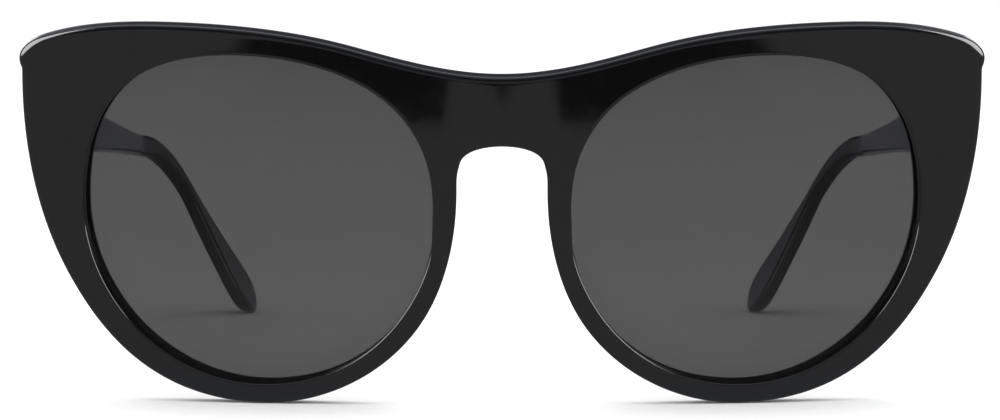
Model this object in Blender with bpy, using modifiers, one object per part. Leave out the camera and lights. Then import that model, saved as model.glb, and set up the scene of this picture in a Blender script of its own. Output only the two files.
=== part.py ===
"""Cat eye sunglasses with an acetate front, tinted lenses and two folding temples.

Metres, +Z up. The glasses stand open on the bottoms of both rims and on both temple tips, at z = 0.
They look along -Y, so the temples run to +Y and the wearer's left is +X.
"""

import math
from typing import NamedTuple

import bmesh
import bpy
from mathutils import Matrix, Vector

MM = 0.001
SIDES = (("left", 1), ("right", -1))

# Driving dimensions of the front
BEND_RADIUS = 0.260
FRONT_THICKNESS = 0.005
FRONT_LEAN = math.radians(6)
FRONT_Y = -0.0692
RIM_FOOT_X = 0.0362
SHEET_WIDTH = 0.158
SHEET_BOTTOM = -0.003
SHEET_TOP = 0.061
SHEET_COLUMNS = 26
OUTLINE_CUT = 0.04

# Lenses
LENS_CENTRE_X = 0.037
LENS_CENTRE_Z = 0.0281
LENS_RADIUS_ACROSS = 0.260
LENS_RADIUS_UP = 0.900
LENS_THICKNESS = 0.0017
LENS_DEPTH = 0.0021
LENS_BITE = 0.0006
LENS_SHEET_SIZE = 0.066
LENS_SHEET_CELLS = 10
OPENING_CUT = 0.02
OPENING_STEPS = 12

# Room left between pieces that touch on the real glasses
GAP = 0.0003

# Temples, measured along the middle of the arm from its hinge end
TEMPLE_INNER_X = 0.0678
TEMPLE_THICKNESS = 0.0038
TIP_THICKNESS = 0.0027
THINNING_START = 0.045
TEMPLE_START_Y = 0.012
TEMPLE_START_Z = 0.0431
TEMPLE_SLOPE = math.radians(6)
TEMPLE_STRAIGHT = 0.100
EAR_RADIUS = 0.024
DROP_ANGLE = math.radians(60)
NARROWEST_IN_BEND = 0.9
HEIGHT_AT_HINGE = 0.012
HEIGHT_AT_EAR = 0.0035
HEIGHT_AT_TIP = 0.0096
NARROWING_POWER = 2.0
TEMPLE_BOW = 0.007
BOW_START = 0.014
BOW_EASE = 0.012
TOE_IN = 0.0155
TOE_START = 0.094
TOE_POWER = 1.35
SECTION_CORNER = 0.0011
FULL_HEIGHT_BEFORE_TIP = 0.0065
SHAFT_STATIONS = 36
TIP_TURNS = (20, 40, 58, 74, 87)

# Core wires
WIRE_RADIUS = 0.0006
WIRE_OFFSET = 0.0003
WIRE_START = 0.003
WIRE_TIP_MARGIN = 0.012
WIRE_STATIONS = 36

# Five-barrel hinges
HINGE_X = 0.0658
HINGE_Y = 0.0117
HINGE_Z = 0.0430
BARREL_COUNT = 5
BARREL_HEIGHT = 0.0018
BARREL_SPACE = 0.0002
BARREL_RADIUS = 0.0015
SCREW_RADIUS = 0.0006
SCREW_HEAD_RADIUS = 0.0013
SCREW_HEAD_HEIGHT = 0.0007
BORE_LENGTH = 0.02
ARM_WIDTH = 0.0026
ARM_REACH = 0.0030
ARM_OVERLAP = 0.0004
FRONT_PLATE = Vector((0.0035, 0.0014, 0.0145))
FRONT_PLATE_PROUD = 0.0002
FRONT_PLATE_SHIFT_X = -0.0001
FRONT_PLATE_SHIFT_Z = -0.0012
FRONT_LEAF_SCREW_Z = 0.0062
TEMPLE_PLATE = Vector((0.0011, 0.0105, 0.0080))
TEMPLE_PLATE_SINK = 0.0001
TEMPLE_PLATE_START = 0.0014
TEMPLE_LEAF_SCREWS = ((0.0055, 0.0024), (0.0095, -0.0024))
TEMPLE_MOUTH = Vector((0.002, 0.004, 0.0104))
TEMPLE_MOUTH_Y = 0.0005
POCKET_MARGIN = 0.002
LEAF_SCREW_RADIUS = 0.0004
LEAF_HEAD_RADIUS = 0.0008
LEAF_SCREW_LENGTH = 0.0024
LEAF_HEAD_HEIGHT = 0.0004
LEAF_HOLE_DEPTH = 0.003
LEAF_HOLE_LENGTH = 0.0036

# Nose pads, in the front's own frame
PAD_BOTTOM_Z = 0.0175
PAD_TOP_Z = 0.0345
PAD_DEPTH = 0.0058
PAD_WIDTH = 0.0034
PAD_CLEAR_OF_NOSE = 0.0003
PAD_STATIONS = 11
NOSE_HALF_WIDTH = 0.0070
NOSE_FLARE = 0.0026
NOSE_FLARE_TOP_Z = 0.0295
NOSE_FLARE_HEIGHT = 0.012


class Knot(NamedTuple):
    """A point of an outline in millimetres, with its heading and the lengths of its two handles."""

    x: float
    z: float
    heading: float
    reach_in: float
    reach_out: float


# Half of the front's outline, from the top of the bridge round the wing and the rim to the nose arch
FRONT_KNOTS = (
    Knot(0, 50.4, 0, 8.9, 8.9),
    Knot(23.6, 54.7, 14, 6.6, 7.2),
    Knot(51.4, 57.6, 0, 12.1, 10),
    Knot(69.4, 55.3, -18, 3, 5.9),
    Knot(72.9, 50.3, -90, 0.2, 3.4),
    Knot(66.1, 18.7, -119, 15.3, 11.1),
    Knot(36.2, 0, 180, 16.4, 7.4),
    Knot(13.3, 11.2, 128, 10, 7.5),
    Knot(6.8, 32.8, 90, 7.4, 2.5),
    Knot(6.3, 37.3, 105, 1.9, 2),
    Knot(0, 39.9, 180, 2.6, 2.6),
)

# The left lens opening, about the lens centre, with +x towards the temple
LENS_KNOTS = (
    Knot(3.3, 25.2, 0, 11.4, 20.2),
    Knot(27.1, 2.1, -90, 10.7, 15.2),
    Knot(-0.1, -25.1, 180, 14.3, 20.5),
    Knot(-26.5, -2.9, 90, 3.9, 5.0),
    Knot(-22.1, 16.0, 51, 9.1, 7.3),
)


def clear_scene():
    """Removes every object that the scene starts with."""
    for obj in list(bpy.data.objects):
        bpy.data.objects.remove(obj, do_unlink=True)


def new_collection(name):
    """Adds a collection to the scene."""
    collection = bpy.data.collections.new(name)
    bpy.context.scene.collection.children.link(collection)
    return collection


def make_material(name, colour, roughness, metallic=0.0, alpha=1.0):
    """Makes a Principled material from a linear colour."""
    material = bpy.data.materials.new(name)
    material.use_nodes = True
    shader = material.node_tree.nodes["Principled BSDF"]
    shader.inputs["Base Color"].default_value = (*colour, 1)
    shader.inputs["Roughness"].default_value = roughness
    shader.inputs["Metallic"].default_value = metallic
    shader.inputs["Alpha"].default_value = alpha
    return material


def add_object(name, mesh, collection, material=None, parent=None):
    """Links an object that holds this mesh."""
    obj = bpy.data.objects.new(name, mesh)
    collection.objects.link(obj)
    if material:
        mesh.materials.append(material)
    if parent:
        obj.parent = parent
    return obj


def add_cutter(name, mesh, matrix, cutters):
    """Links a helper that only Booleans use."""
    obj = add_object(name, mesh, cutters)
    obj.matrix_world = matrix
    obj.hide_render = True
    obj.display_type = "WIRE"
    return obj


def boolean(obj, operation, helper):
    """Adds an exact Boolean modifier."""
    modifier = obj.modifiers.new(f"{operation.lower()} {helper.name}", "BOOLEAN")
    modifier.operation = operation
    modifier.solver = "EXACT"
    modifier.object = helper


def mesh_from(bm, name):
    """Turns a bmesh into a mesh with its faces outwards."""
    bmesh.ops.recalc_face_normals(bm, faces=bm.faces)
    mesh = bpy.data.meshes.new(name)
    bm.to_mesh(mesh)
    bm.free()
    return mesh


def box_mesh(name, size, centre=(0, 0, 0)):
    """A box of these three sides."""
    bm = bmesh.new()
    bmesh.ops.create_cube(bm, size=1)
    place = Matrix.Translation(centre) @ Matrix.Diagonal((*size, 1))
    bmesh.ops.transform(bm, matrix=place, verts=bm.verts)
    return mesh_from(bm, name)


def cylinder_mesh(name, radius, height, bottom=(0, 0, 0), segments=20):
    """A cylinder that stands along Z on the point bottom."""
    bm = bmesh.new()
    bmesh.ops.create_cone(
        bm, cap_ends=True, segments=segments, radius1=radius, radius2=radius, depth=height
    )
    bmesh.ops.translate(bm, vec=Vector(bottom) + Vector((0, 0, height / 2)), verts=bm.verts)
    return mesh_from(bm, name)


def loft_mesh(name, rings):
    """A closed solid through rings of equal count, capped at both ends."""
    bm = bmesh.new()
    loops = [[bm.verts.new(point) for point in ring] for ring in rings]
    for first, second in zip(loops, loops[1:]):
        for i in range(len(first)):
            j = (i + 1) % len(first)
            bm.faces.new((first[i], first[j], second[j], second[i]))
    bm.faces.new(loops[0])
    bm.faces.new(loops[-1])
    return mesh_from(bm, name)


def mesh_of(obj):
    """The curve's mesh in world space, with its caps welded. The curve itself is removed."""
    graph = bpy.context.evaluated_depsgraph_get()
    mesh = bpy.data.meshes.new_from_object(obj.evaluated_get(graph))
    bm = bmesh.new()
    bm.from_mesh(mesh)
    bmesh.ops.transform(bm, matrix=obj.matrix_world, verts=bm.verts)
    bmesh.ops.remove_doubles(bm, verts=bm.verts, dist=0.000001)
    bmesh.ops.recalc_face_normals(bm, faces=bm.faces)
    bm.to_mesh(mesh)
    bm.free()
    mesh.name = obj.name
    bpy.data.objects.remove(obj)
    return mesh


def mirrored_knots(knots):
    """The same outline on the other side of x = 0, walked the other way."""
    return tuple(Knot(-k.x, k.z, -k.heading, k.reach_out, k.reach_in) for k in reversed(knots))


def outline_prism(name, knots, depth, grow=0.0, resolution=10):
    """A closed outline in the XZ plane, extruded along Y by depth to both sides."""
    curve = bpy.data.curves.new(name, "CURVE")
    curve.dimensions = "2D"
    curve.fill_mode = "BOTH"
    curve.extrude = depth
    curve.offset = grow
    curve.resolution_u = resolution
    spline = curve.splines.new("BEZIER")
    spline.bezier_points.add(len(knots) - 1)
    spline.use_cyclic_u = True
    for point, knot in zip(spline.bezier_points, knots):
        heading = math.radians(knot.heading)
        way = Vector((math.cos(heading), math.sin(heading), 0)) * MM
        place = Vector((knot.x, knot.z, 0)) * MM
        point.handle_left_type = point.handle_right_type = "FREE"
        point.co = place
        point.handle_left = place - way * knot.reach_in
        point.handle_right = place + way * knot.reach_out
    obj = bpy.data.objects.new(name, curve)
    bpy.context.scene.collection.objects.link(obj)
    obj.matrix_world = Matrix.Rotation(math.radians(90), 4, "X")
    bpy.context.view_layer.update()
    return mesh_of(obj)


def tube_mesh(name, points, radius):
    """A round bar along points, with filled caps."""
    curve = bpy.data.curves.new(name, "CURVE")
    curve.dimensions = "3D"
    curve.bevel_depth = radius
    curve.bevel_resolution = 2
    curve.use_fill_caps = True
    spline = curve.splines.new("POLY")
    spline.points.add(len(points) - 1)
    for point, place in zip(spline.points, points):
        point.co = (*place, 1)
    obj = bpy.data.objects.new(name, curve)
    bpy.context.scene.collection.objects.link(obj)
    bpy.context.view_layer.update()
    return mesh_of(obj)


def front_y(x):
    """How far the front face of the bent front lies behind the bridge, at x."""
    return BEND_RADIUS - math.sqrt(BEND_RADIUS**2 - x * x)


def back_y(x):
    """The same for its back face."""
    return front_y(x) + FRONT_THICKNESS / math.cos(math.asin(x / BEND_RADIUS))


def front_matrix():
    """Where the leaning front stands: its own frame has z = 0 at the bottom of the rims."""
    lift = -front_y(RIM_FOOT_X) * math.sin(FRONT_LEAN)
    return Matrix.Translation((0, FRONT_Y, lift)) @ Matrix.Rotation(FRONT_LEAN, 4, "X")


def hinge_matrix(side):
    """The hinge axis, along +Z, with its origin at the middle of the barrels."""
    return Matrix.Translation((side * HINGE_X, FRONT_Y + HINGE_Y, HINGE_Z))


def lens_matrix(side):
    """The lens's own frame: its centre on the front's front face, with +Y backwards."""
    wrap = side * math.asin(LENS_CENTRE_X / BEND_RADIUS)
    centre = (side * LENS_CENTRE_X, front_y(LENS_CENTRE_X), LENS_CENTRE_Z)
    return Matrix.Translation(centre) @ Matrix.Rotation(wrap, 4, "Z")


def bent_sheet(name, width, bottom, top, columns):
    """An open sheet bent round the vertical axis to BEND_RADIUS."""
    bm = bmesh.new()
    bmesh.ops.create_grid(bm, x_segments=columns, y_segments=1, size=0.5)
    for vert in bm.verts:
        turn = vert.co.x * width / BEND_RADIUS
        height = bottom + (vert.co.y + 0.5) * (top - bottom)
        vert.co = (BEND_RADIUS * math.sin(turn), BEND_RADIUS * (1 - math.cos(turn)), height)
    mesh = bpy.data.meshes.new(name)
    bm.to_mesh(mesh)
    bm.free()
    return mesh


def dished_sheet(name, depth):
    """An open square sheet of the lens's two curves, with its middle at this depth."""
    bm = bmesh.new()
    bmesh.ops.create_grid(
        bm, x_segments=LENS_SHEET_CELLS, y_segments=LENS_SHEET_CELLS, size=LENS_SHEET_SIZE / 2
    )
    for vert in bm.verts:
        x, z = vert.co.x, vert.co.y
        across = LENS_RADIUS_ACROSS - math.sqrt(LENS_RADIUS_ACROSS**2 - x * x)
        up = LENS_RADIUS_UP - math.sqrt(LENS_RADIUS_UP**2 - z * z)
        vert.co = (x, depth + across + up, z)
    mesh = bpy.data.meshes.new(name)
    bm.to_mesh(mesh)
    bm.free()
    return mesh


def thicken(obj, thickness):
    """Gives an open sheet its thickness, towards +Y."""
    solidify = obj.modifiers.new("thickness", "SOLIDIFY")
    solidify.thickness = thickness
    solidify.offset = -1


def lens_prism(name, side, grow):
    """The lens opening of one side as a prism, grown outwards by grow."""
    knots = LENS_KNOTS if side > 0 else mirrored_knots(LENS_KNOTS)
    return outline_prism(name, knots, OPENING_CUT, grow, OPENING_STEPS)


def build_front(parts, cutters, material, stance):
    """The one-piece front: a bent sheet cut to its outline, with both lens openings and their grooves."""
    sheet = bent_sheet("front_frame", SHEET_WIDTH, SHEET_BOTTOM, SHEET_TOP, SHEET_COLUMNS)
    front = add_object("front_frame", sheet, parts, material, stance)
    thicken(front, FRONT_THICKNESS)
    knots = FRONT_KNOTS + mirrored_knots(FRONT_KNOTS)[1:-1]
    outline = outline_prism("front_outline", knots, OUTLINE_CUT)
    boolean(front, "INTERSECT", add_cutter("front_outline", outline, front_matrix(), cutters))
    for name, side in SIDES:
        place = front_matrix() @ lens_matrix(side)
        opening = lens_prism(f"opening_{name}", side, 0)
        boolean(front, "DIFFERENCE", add_cutter(f"opening_{name}", opening, place, cutters))
        sheet = dished_sheet(f"groove_{name}", LENS_DEPTH - GAP)
        groove = add_cutter(f"groove_{name}", sheet, place, cutters)
        thicken(groove, LENS_THICKNESS + 2 * GAP)
        rim = lens_prism(f"groove_rim_{name}", side, LENS_BITE + GAP)
        boolean(groove, "INTERSECT", add_cutter(f"groove_rim_{name}", rim, place, cutters))
        boolean(front, "DIFFERENCE", groove)
    return front


def build_lens(name, side, parts, cutters, material, stance):
    """One dished lens whose edge sits in the groove of its rim."""
    sheet = dished_sheet(f"lens_{name}", LENS_DEPTH)
    lens = add_object(f"lens_{name}", sheet, parts, material, stance)
    lens.matrix_local = lens_matrix(side)
    thicken(lens, LENS_THICKNESS)
    rim = lens_prism(f"lens_rim_{name}", side, LENS_BITE)
    place = front_matrix() @ lens_matrix(side)
    boolean(lens, "INTERSECT", add_cutter(f"lens_rim_{name}", rim, place, cutters))


def build_nose_pad(name, side, parts, material, stance):
    """A wedge-shaped acetate pad behind the rim, beside the nose gap."""
    rings = []
    for i in range(PAD_STATIONS):
        t = i / (PAD_STATIONS - 1)
        z = PAD_BOTTOM_Z + t * (PAD_TOP_Z - PAD_BOTTOM_Z)
        swell = math.sin(math.pi * (0.06 + 0.88 * t)) ** 0.6
        flare = max(0.0, (NOSE_FLARE_TOP_Z - z) / NOSE_FLARE_HEIGHT) ** 1.7
        nose_edge = NOSE_HALF_WIDTH + NOSE_FLARE * flare
        depth = PAD_DEPTH * swell
        near = nose_edge + PAD_CLEAR_OF_NOSE
        far = nose_edge + PAD_WIDTH
        ring = (
            (near, 0),
            (near + 0.0006 * swell, depth * 0.45),
            (near + 0.0014 * swell, depth * 0.85),
            (near + 0.0020 * swell, depth),
            (far - 0.0004, depth * 0.97),
            (far - 0.0001, depth * 0.7),
            (far, depth * 0.35),
            (far, 0),
        )
        rings.append([(side * x, back_y(x) + GAP + y, z) for x, y in ring])
    add_object(f"nose_pad_{name}", loft_mesh(f"nose_pad_{name}", rings), parts, material, stance)


def temple_length():
    """The length along the arm at which the tip's rounded end touches the ground."""
    after_straight = TEMPLE_START_Z - TEMPLE_STRAIGHT * math.sin(TEMPLE_SLOPE)
    after_bend = after_straight - EAR_RADIUS * (math.cos(TEMPLE_SLOPE) - math.cos(DROP_ANGLE))
    drop = (after_bend - HEIGHT_AT_TIP / 2) / math.sin(DROP_ANGLE) + HEIGHT_AT_TIP / 2
    return TEMPLE_STRAIGHT + EAR_RADIUS * (DROP_ANGLE - TEMPLE_SLOPE) + drop


def temple_bow(s):
    """How far the arm has bowed inwards at the length s: none beside the hinge leaf, then evenly."""
    run = max(s - BOW_START, 0)
    eased = min(run, BOW_EASE)
    ramp = eased * eased / (2 * BOW_EASE) + run - eased
    return TEMPLE_BOW * ramp / (temple_length() - BOW_START - BOW_EASE / 2)


def temple_size(s):
    """The arm's height and thickness at the length s."""
    length = temple_length()
    ear = TEMPLE_STRAIGHT + NARROWEST_IN_BEND * EAR_RADIUS * (DROP_ANGLE - TEMPLE_SLOPE)
    if s < ear:
        share = (1 - s / ear) ** NARROWING_POWER
        height = HEIGHT_AT_EAR + (HEIGHT_AT_HINGE - HEIGHT_AT_EAR) * share
    else:
        growth = min(1, (s - ear) / (length - ear - FULL_HEIGHT_BEFORE_TIP))
        height = HEIGHT_AT_EAR + (HEIGHT_AT_TIP - HEIGHT_AT_EAR) * growth
    cap = HEIGHT_AT_TIP / 2
    over = (s - (length - cap)) / cap
    if over > 0:
        height *= math.sqrt(max(0.0, 1 - over * over))
    thinning = min(max((s - THINNING_START) / (ear - THINNING_START), 0), 1)
    thickness = TEMPLE_THICKNESS - (TEMPLE_THICKNESS - TIP_THICKNESS) * thinning
    return height, thickness


def temple_station(s):
    """The arm at the length s: inner x, y from the front's foot, z and downward angle."""
    length = temple_length()
    bend = EAR_RADIUS * (DROP_ANGLE - TEMPLE_SLOPE)
    straight = min(s, TEMPLE_STRAIGHT)
    angle = TEMPLE_SLOPE + min(max(s - TEMPLE_STRAIGHT, 0), bend) / EAR_RADIUS
    rest = max(s - TEMPLE_STRAIGHT - bend, 0)
    y = TEMPLE_START_Y + straight * math.cos(TEMPLE_SLOPE) + rest * math.cos(DROP_ANGLE)
    y += EAR_RADIUS * (math.sin(angle) - math.sin(TEMPLE_SLOPE))
    z = TEMPLE_START_Z - straight * math.sin(TEMPLE_SLOPE) - rest * math.sin(DROP_ANGLE)
    z -= EAR_RADIUS * (math.cos(TEMPLE_SLOPE) - math.cos(angle))
    toe = max(0.0, (s - TOE_START) / (length - TOE_START)) ** TOE_POWER
    x = TEMPLE_INNER_X - temple_bow(s) - TOE_IN * toe
    return x, y, z, angle


def section(width, height, corner, steps=2):
    """A rounded rectangle about its centre, as (across, up) pairs."""
    corner = min(corner, 0.49 * height, 0.49 * width)
    points = []
    for quarter, (sx, sz) in enumerate(((1, 1), (-1, 1), (-1, -1), (1, -1))):
        for step in range(steps + 1):
            turn = math.radians(90) * (quarter + step / steps)
            across = sx * (width / 2 - corner) + corner * math.cos(turn)
            up = sz * (height / 2 - corner) + corner * math.sin(turn)
            points.append((across, up))
    return points


def temple_stations():
    """Lengths along the arm: even along the shaft, closer towards the rounded tip."""
    length = temple_length()
    cap = HEIGHT_AT_TIP / 2
    shaft = [i / SHAFT_STATIONS * (length - cap) for i in range(SHAFT_STATIONS + 1)]
    tip = [length - cap * (1 - math.sin(math.radians(turn))) for turn in TIP_TURNS]
    return shaft + tip


def temple_rings(side):
    """The arm's sections in world space; the first follows the back of the front."""
    rings = []
    foot = front_matrix()
    for index, s in enumerate(temple_stations()):
        x, y, z, angle = temple_station(s)
        height, thickness = temple_size(s)
        ring = []
        for across, up in section(thickness, height, SECTION_CORNER):
            px = x + thickness / 2 + across
            py = y + up * math.sin(angle) + FRONT_Y
            pz = z + up * math.cos(angle)
            if index == 0:
                local_z = pz / math.cos(FRONT_LEAN) - back_y(px) * math.tan(FRONT_LEAN)
                py = (foot @ Vector((0, back_y(px) + GAP, local_z))).y
            ring.append(Vector((side * px, py, pz)))
        rings.append(ring)
    return rings


def wire_points(side, start, end, count):
    """Points along the core wire: outside the hinge leaf at first, in mid thickness at the tip."""
    points = []
    for i in range(count):
        s = start + (end - start) * i / (count - 1)
        x, y, z, _ = temple_station(s)
        _, thickness = temple_size(s)
        outwards = WIRE_OFFSET * (thickness - TIP_THICKNESS) / (TEMPLE_THICKNESS - TIP_THICKNESS)
        points.append(Vector((side * (x + thickness / 2 + outwards), y + FRONT_Y, z)))
    return points


def leaf_screw_mesh(name):
    """A small pan-head screw whose head sits on z = 0 and whose shank runs to -Z."""
    profile = (
        (LEAF_HEAD_RADIUS * 0.8, LEAF_HEAD_HEIGHT),
        (LEAF_HEAD_RADIUS, LEAF_HEAD_HEIGHT * 0.5),
        (LEAF_HEAD_RADIUS, 0),
        (LEAF_SCREW_RADIUS, 0),
        (LEAF_SCREW_RADIUS, -LEAF_SCREW_LENGTH * 0.8),
        (LEAF_SCREW_RADIUS * 0.4, -LEAF_SCREW_LENGTH),
    )
    return turned_mesh(name, profile, 12)


def turned_mesh(name, profile, segments):
    """A solid of revolution about Z from (radius, z) pairs, top to bottom."""
    rings = []
    for radius, z in profile:
        turns = [math.tau * i / segments for i in range(segments)]
        rings.append([(radius * math.cos(a), radius * math.sin(a), z) for a in turns])
    return loft_mesh(name, rings)


def barrel_bottom(level):
    """The height of a barrel's lower face over the middle of the hinge."""
    stack = BARREL_COUNT * BARREL_HEIGHT + (BARREL_COUNT - 1) * BARREL_SPACE
    return level * (BARREL_HEIGHT + BARREL_SPACE) - stack / 2


def build_barrels(obj, name, levels, arm_low, arm_high, matrix, cutters):
    """Joins barrels and their arms to a leaf, then bores them for the screw."""
    for level in levels:
        bottom = barrel_bottom(level)
        label = f"{name}_barrel_{level}"
        barrel = cylinder_mesh(label, BARREL_RADIUS, BARREL_HEIGHT, (0, 0, bottom))
        boolean(obj, "UNION", add_cutter(label, barrel, matrix, cutters))
        size = Vector((*(Vector(arm_high) - Vector(arm_low)), BARREL_HEIGHT))
        centre = (Vector(arm_high) + Vector(arm_low)) / 2
        middle = Vector((*centre, bottom + BARREL_HEIGHT / 2))
        arm = box_mesh(f"{name}_arm_{level}", size, middle)
        boolean(obj, "UNION", add_cutter(f"{name}_arm_{level}", arm, matrix, cutters))
    foot = (0, 0, -BORE_LENGTH / 2)
    bore = cylinder_mesh(f"{name}_bore", SCREW_RADIUS + GAP, BORE_LENGTH, foot, 16)
    boolean(obj, "DIFFERENCE", add_cutter(f"{name}_bore", bore, matrix, cutters))


def front_plate_matrix(side):
    """The front leaf's plate: flush in the back of the end piece, +Y backwards out of it."""
    x = HINGE_X + FRONT_PLATE_SHIFT_X
    wrap = side * math.asin(x / BEND_RADIUS)
    place = (side * x, back_y(x), HINGE_Z / math.cos(FRONT_LEAN) + FRONT_PLATE_SHIFT_Z)
    return front_matrix() @ Matrix.Translation(place) @ Matrix.Rotation(wrap, 4, "Z")


def plate_screw_holes(plate, seat, name, places, cutters):
    """Bores the plate and the acetate behind it for the leaf screws."""
    for index, place in enumerate(places, start=1):
        label = f"{name}_hole_{index}"
        foot = (0, 0, -LEAF_HOLE_DEPTH)
        hole = cylinder_mesh(label, LEAF_SCREW_RADIUS + GAP, LEAF_HOLE_LENGTH, foot, 12)
        cutter = add_cutter(label, hole, place, cutters)
        boolean(plate, "DIFFERENCE", cutter)
        boolean(seat, "DIFFERENCE", cutter)


def build_front_hinge(name, side, front, parts, cutters, material):
    """The front leaf: a plate let into the end piece, three barrels and two small screws."""
    plate_place = front_plate_matrix(side)
    label = f"front_hinge_{name}"
    plate = box_mesh(label, FRONT_PLATE, (0, FRONT_PLATE_PROUD - FRONT_PLATE.y / 2, 0))
    leaf = add_object(label, plate, parts, material)
    leaf.matrix_world = plate_place
    pocket_size = FRONT_PLATE + Vector((2 * GAP, POCKET_MARGIN, 2 * GAP))
    floor = FRONT_PLATE_PROUD - FRONT_PLATE.y - GAP
    pocket = box_mesh(f"front_pocket_{name}", pocket_size, (0, floor + pocket_size.y / 2, 0))
    boolean(front, "DIFFERENCE", add_cutter(f"front_pocket_{name}", pocket, plate_place, cutters))
    arm_low = (-ARM_WIDTH / 2, -ARM_REACH)
    arm_high = (ARM_WIDTH / 2, 0)
    build_barrels(leaf, label, (0, 2, 4), arm_low, arm_high, hinge_matrix(side), cutters)
    outwards = Matrix.Rotation(math.radians(-90), 4, "X")
    spots = [(0, FRONT_PLATE_PROUD, z) for z in (FRONT_LEAF_SCREW_Z, -FRONT_LEAF_SCREW_Z)]
    places = [plate_place @ Matrix.Translation(spot) @ outwards for spot in spots]
    plate_screw_holes(leaf, front, label, places, cutters)
    add_leaf_screws(f"front_leaf_screw_{name}", places, parts, material)


def add_leaf_screws(name, places, parts, material, parent=None):
    """Small screws whose heads stand just clear of their plate."""
    for index, place in enumerate(places, start=1):
        label = f"{name}_{index}"
        screw = add_object(label, leaf_screw_mesh(label), parts, material, parent)
        screw.matrix_world = place @ Matrix.Translation((0, 0, GAP / 2))


def build_hinge_screw(name, side, parts, material):
    """The screw on which the temple turns, put in from above."""
    top = barrel_bottom(BARREL_COUNT - 1) + BARREL_HEIGHT
    bottom = barrel_bottom(0)
    profile = (
        (SCREW_HEAD_RADIUS * 0.85, top + GAP + SCREW_HEAD_HEIGHT),
        (SCREW_HEAD_RADIUS, top + GAP + SCREW_HEAD_HEIGHT * 0.6),
        (SCREW_HEAD_RADIUS, top + GAP),
        (SCREW_RADIUS, top + GAP),
        (SCREW_RADIUS, bottom + BARREL_SPACE),
        (SCREW_RADIUS * 0.7, bottom),
    )
    label = f"hinge_screw_{name}"
    screw = add_object(label, turned_mesh(label, profile, 16), parts, material)
    screw.matrix_world = hinge_matrix(side)


def build_temple(name, side, parts, cutters, materials):
    """One arm with its core wire, hinge leaf and leaf screws, all carried by its pivot."""
    pivot = bpy.data.objects.new(f"temple_pivot_{name}", None)
    parts.objects.link(pivot)
    pivot.matrix_world = hinge_matrix(side)
    to_pivot = hinge_matrix(side).inverted()
    rings = [[to_pivot @ point for point in ring] for ring in temple_rings(side)]
    label = f"temple_{name}"
    temple = add_object(label, loft_mesh(label, rings), parts, materials["acetate"], pivot)
    end = temple_length() - WIRE_TIP_MARGIN
    path = [to_pivot @ point for point in wire_points(side, WIRE_START, end, WIRE_STATIONS)]
    wire_mesh = tube_mesh(f"core_wire_{name}", path, WIRE_RADIUS)
    add_object(f"core_wire_{name}", wire_mesh, parts, materials["nickel"], pivot)
    first, second = wire_points(side, 0, WIRE_START, 2)
    mouth = first + (first - second)
    channel_end = end + 2 * GAP
    channel_path = [mouth] + wire_points(side, WIRE_START, channel_end, WIRE_STATIONS)
    channel = tube_mesh(f"wire_channel_{name}", channel_path, WIRE_RADIUS + GAP)
    cutter = add_cutter(f"wire_channel_{name}", channel, Matrix.Identity(4), cutters)
    boolean(temple, "DIFFERENCE", cutter)
    build_temple_hinge(name, side, temple, pivot, parts, cutters, materials["nickel"])


def build_temple_hinge(name, side, temple, pivot, parts, cutters, material):
    """The temple leaf: a plate let into the inner face, two barrels and two small screws."""
    slope = Matrix.Rotation(-TEMPLE_SLOPE, 4, "X")
    inner = Vector((side * TEMPLE_INNER_X, FRONT_Y + HINGE_Y, HINGE_Z))
    plate_place = Matrix.Translation(inner) @ slope
    middle = Vector((side * TEMPLE_PLATE_SINK, TEMPLE_PLATE_START + TEMPLE_PLATE.y / 2, 0))
    label = f"temple_hinge_{name}"
    leaf = add_object(label, box_mesh(label, TEMPLE_PLATE, middle), parts, material, pivot)
    leaf.matrix_world = plate_place
    pocket_size = TEMPLE_PLATE + Vector((POCKET_MARGIN, 2 * GAP, 2 * GAP))
    depth = TEMPLE_PLATE.x / 2 + TEMPLE_PLATE_SINK + GAP
    pocket_middle = Vector((side * (depth - pocket_size.x / 2), middle.y, 0))
    pocket = box_mesh(f"temple_pocket_{name}", pocket_size, pocket_middle)
    boolean(temple, "DIFFERENCE", add_cutter(f"temple_pocket_{name}", pocket, plate_place, cutters))
    reach = TEMPLE_INNER_X - HINGE_X + ARM_OVERLAP
    arm_low = (0, 0) if side > 0 else (-reach, 0)
    arm_high = (reach, ARM_WIDTH) if side > 0 else (0, ARM_WIDTH)
    build_barrels(leaf, label, (1, 3), arm_low, arm_high, hinge_matrix(side), cutters)
    mouth_middle = (side * (depth - TEMPLE_MOUTH.x / 2), TEMPLE_MOUTH_Y, 0)
    mouth = box_mesh(f"temple_mouth_{name}", TEMPLE_MOUTH, mouth_middle)
    boolean(temple, "DIFFERENCE", add_cutter(f"temple_mouth_{name}", mouth, plate_place, cutters))
    inwards = Matrix.Rotation(math.radians(-90 * side), 4, "Y")
    surface = side * (TEMPLE_PLATE_SINK - TEMPLE_PLATE.x / 2)
    places = []
    for y, z in TEMPLE_LEAF_SCREWS:
        places.append(plate_place @ Matrix.Translation((surface, y, z)) @ inwards)
    plate_screw_holes(leaf, temple, label, places, cutters)
    add_leaf_screws(f"temple_leaf_screw_{name}", places, parts, material, pivot)


def smooth_round_pieces(parts):
    """Shades the curved pieces smooth, with their edges kept sharp."""
    for obj in parts.objects:
        if obj.type == "MESH":
            obj.data.shade_smooth()
            obj.data.set_sharp_from_angle(angle=math.radians(35))


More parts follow.
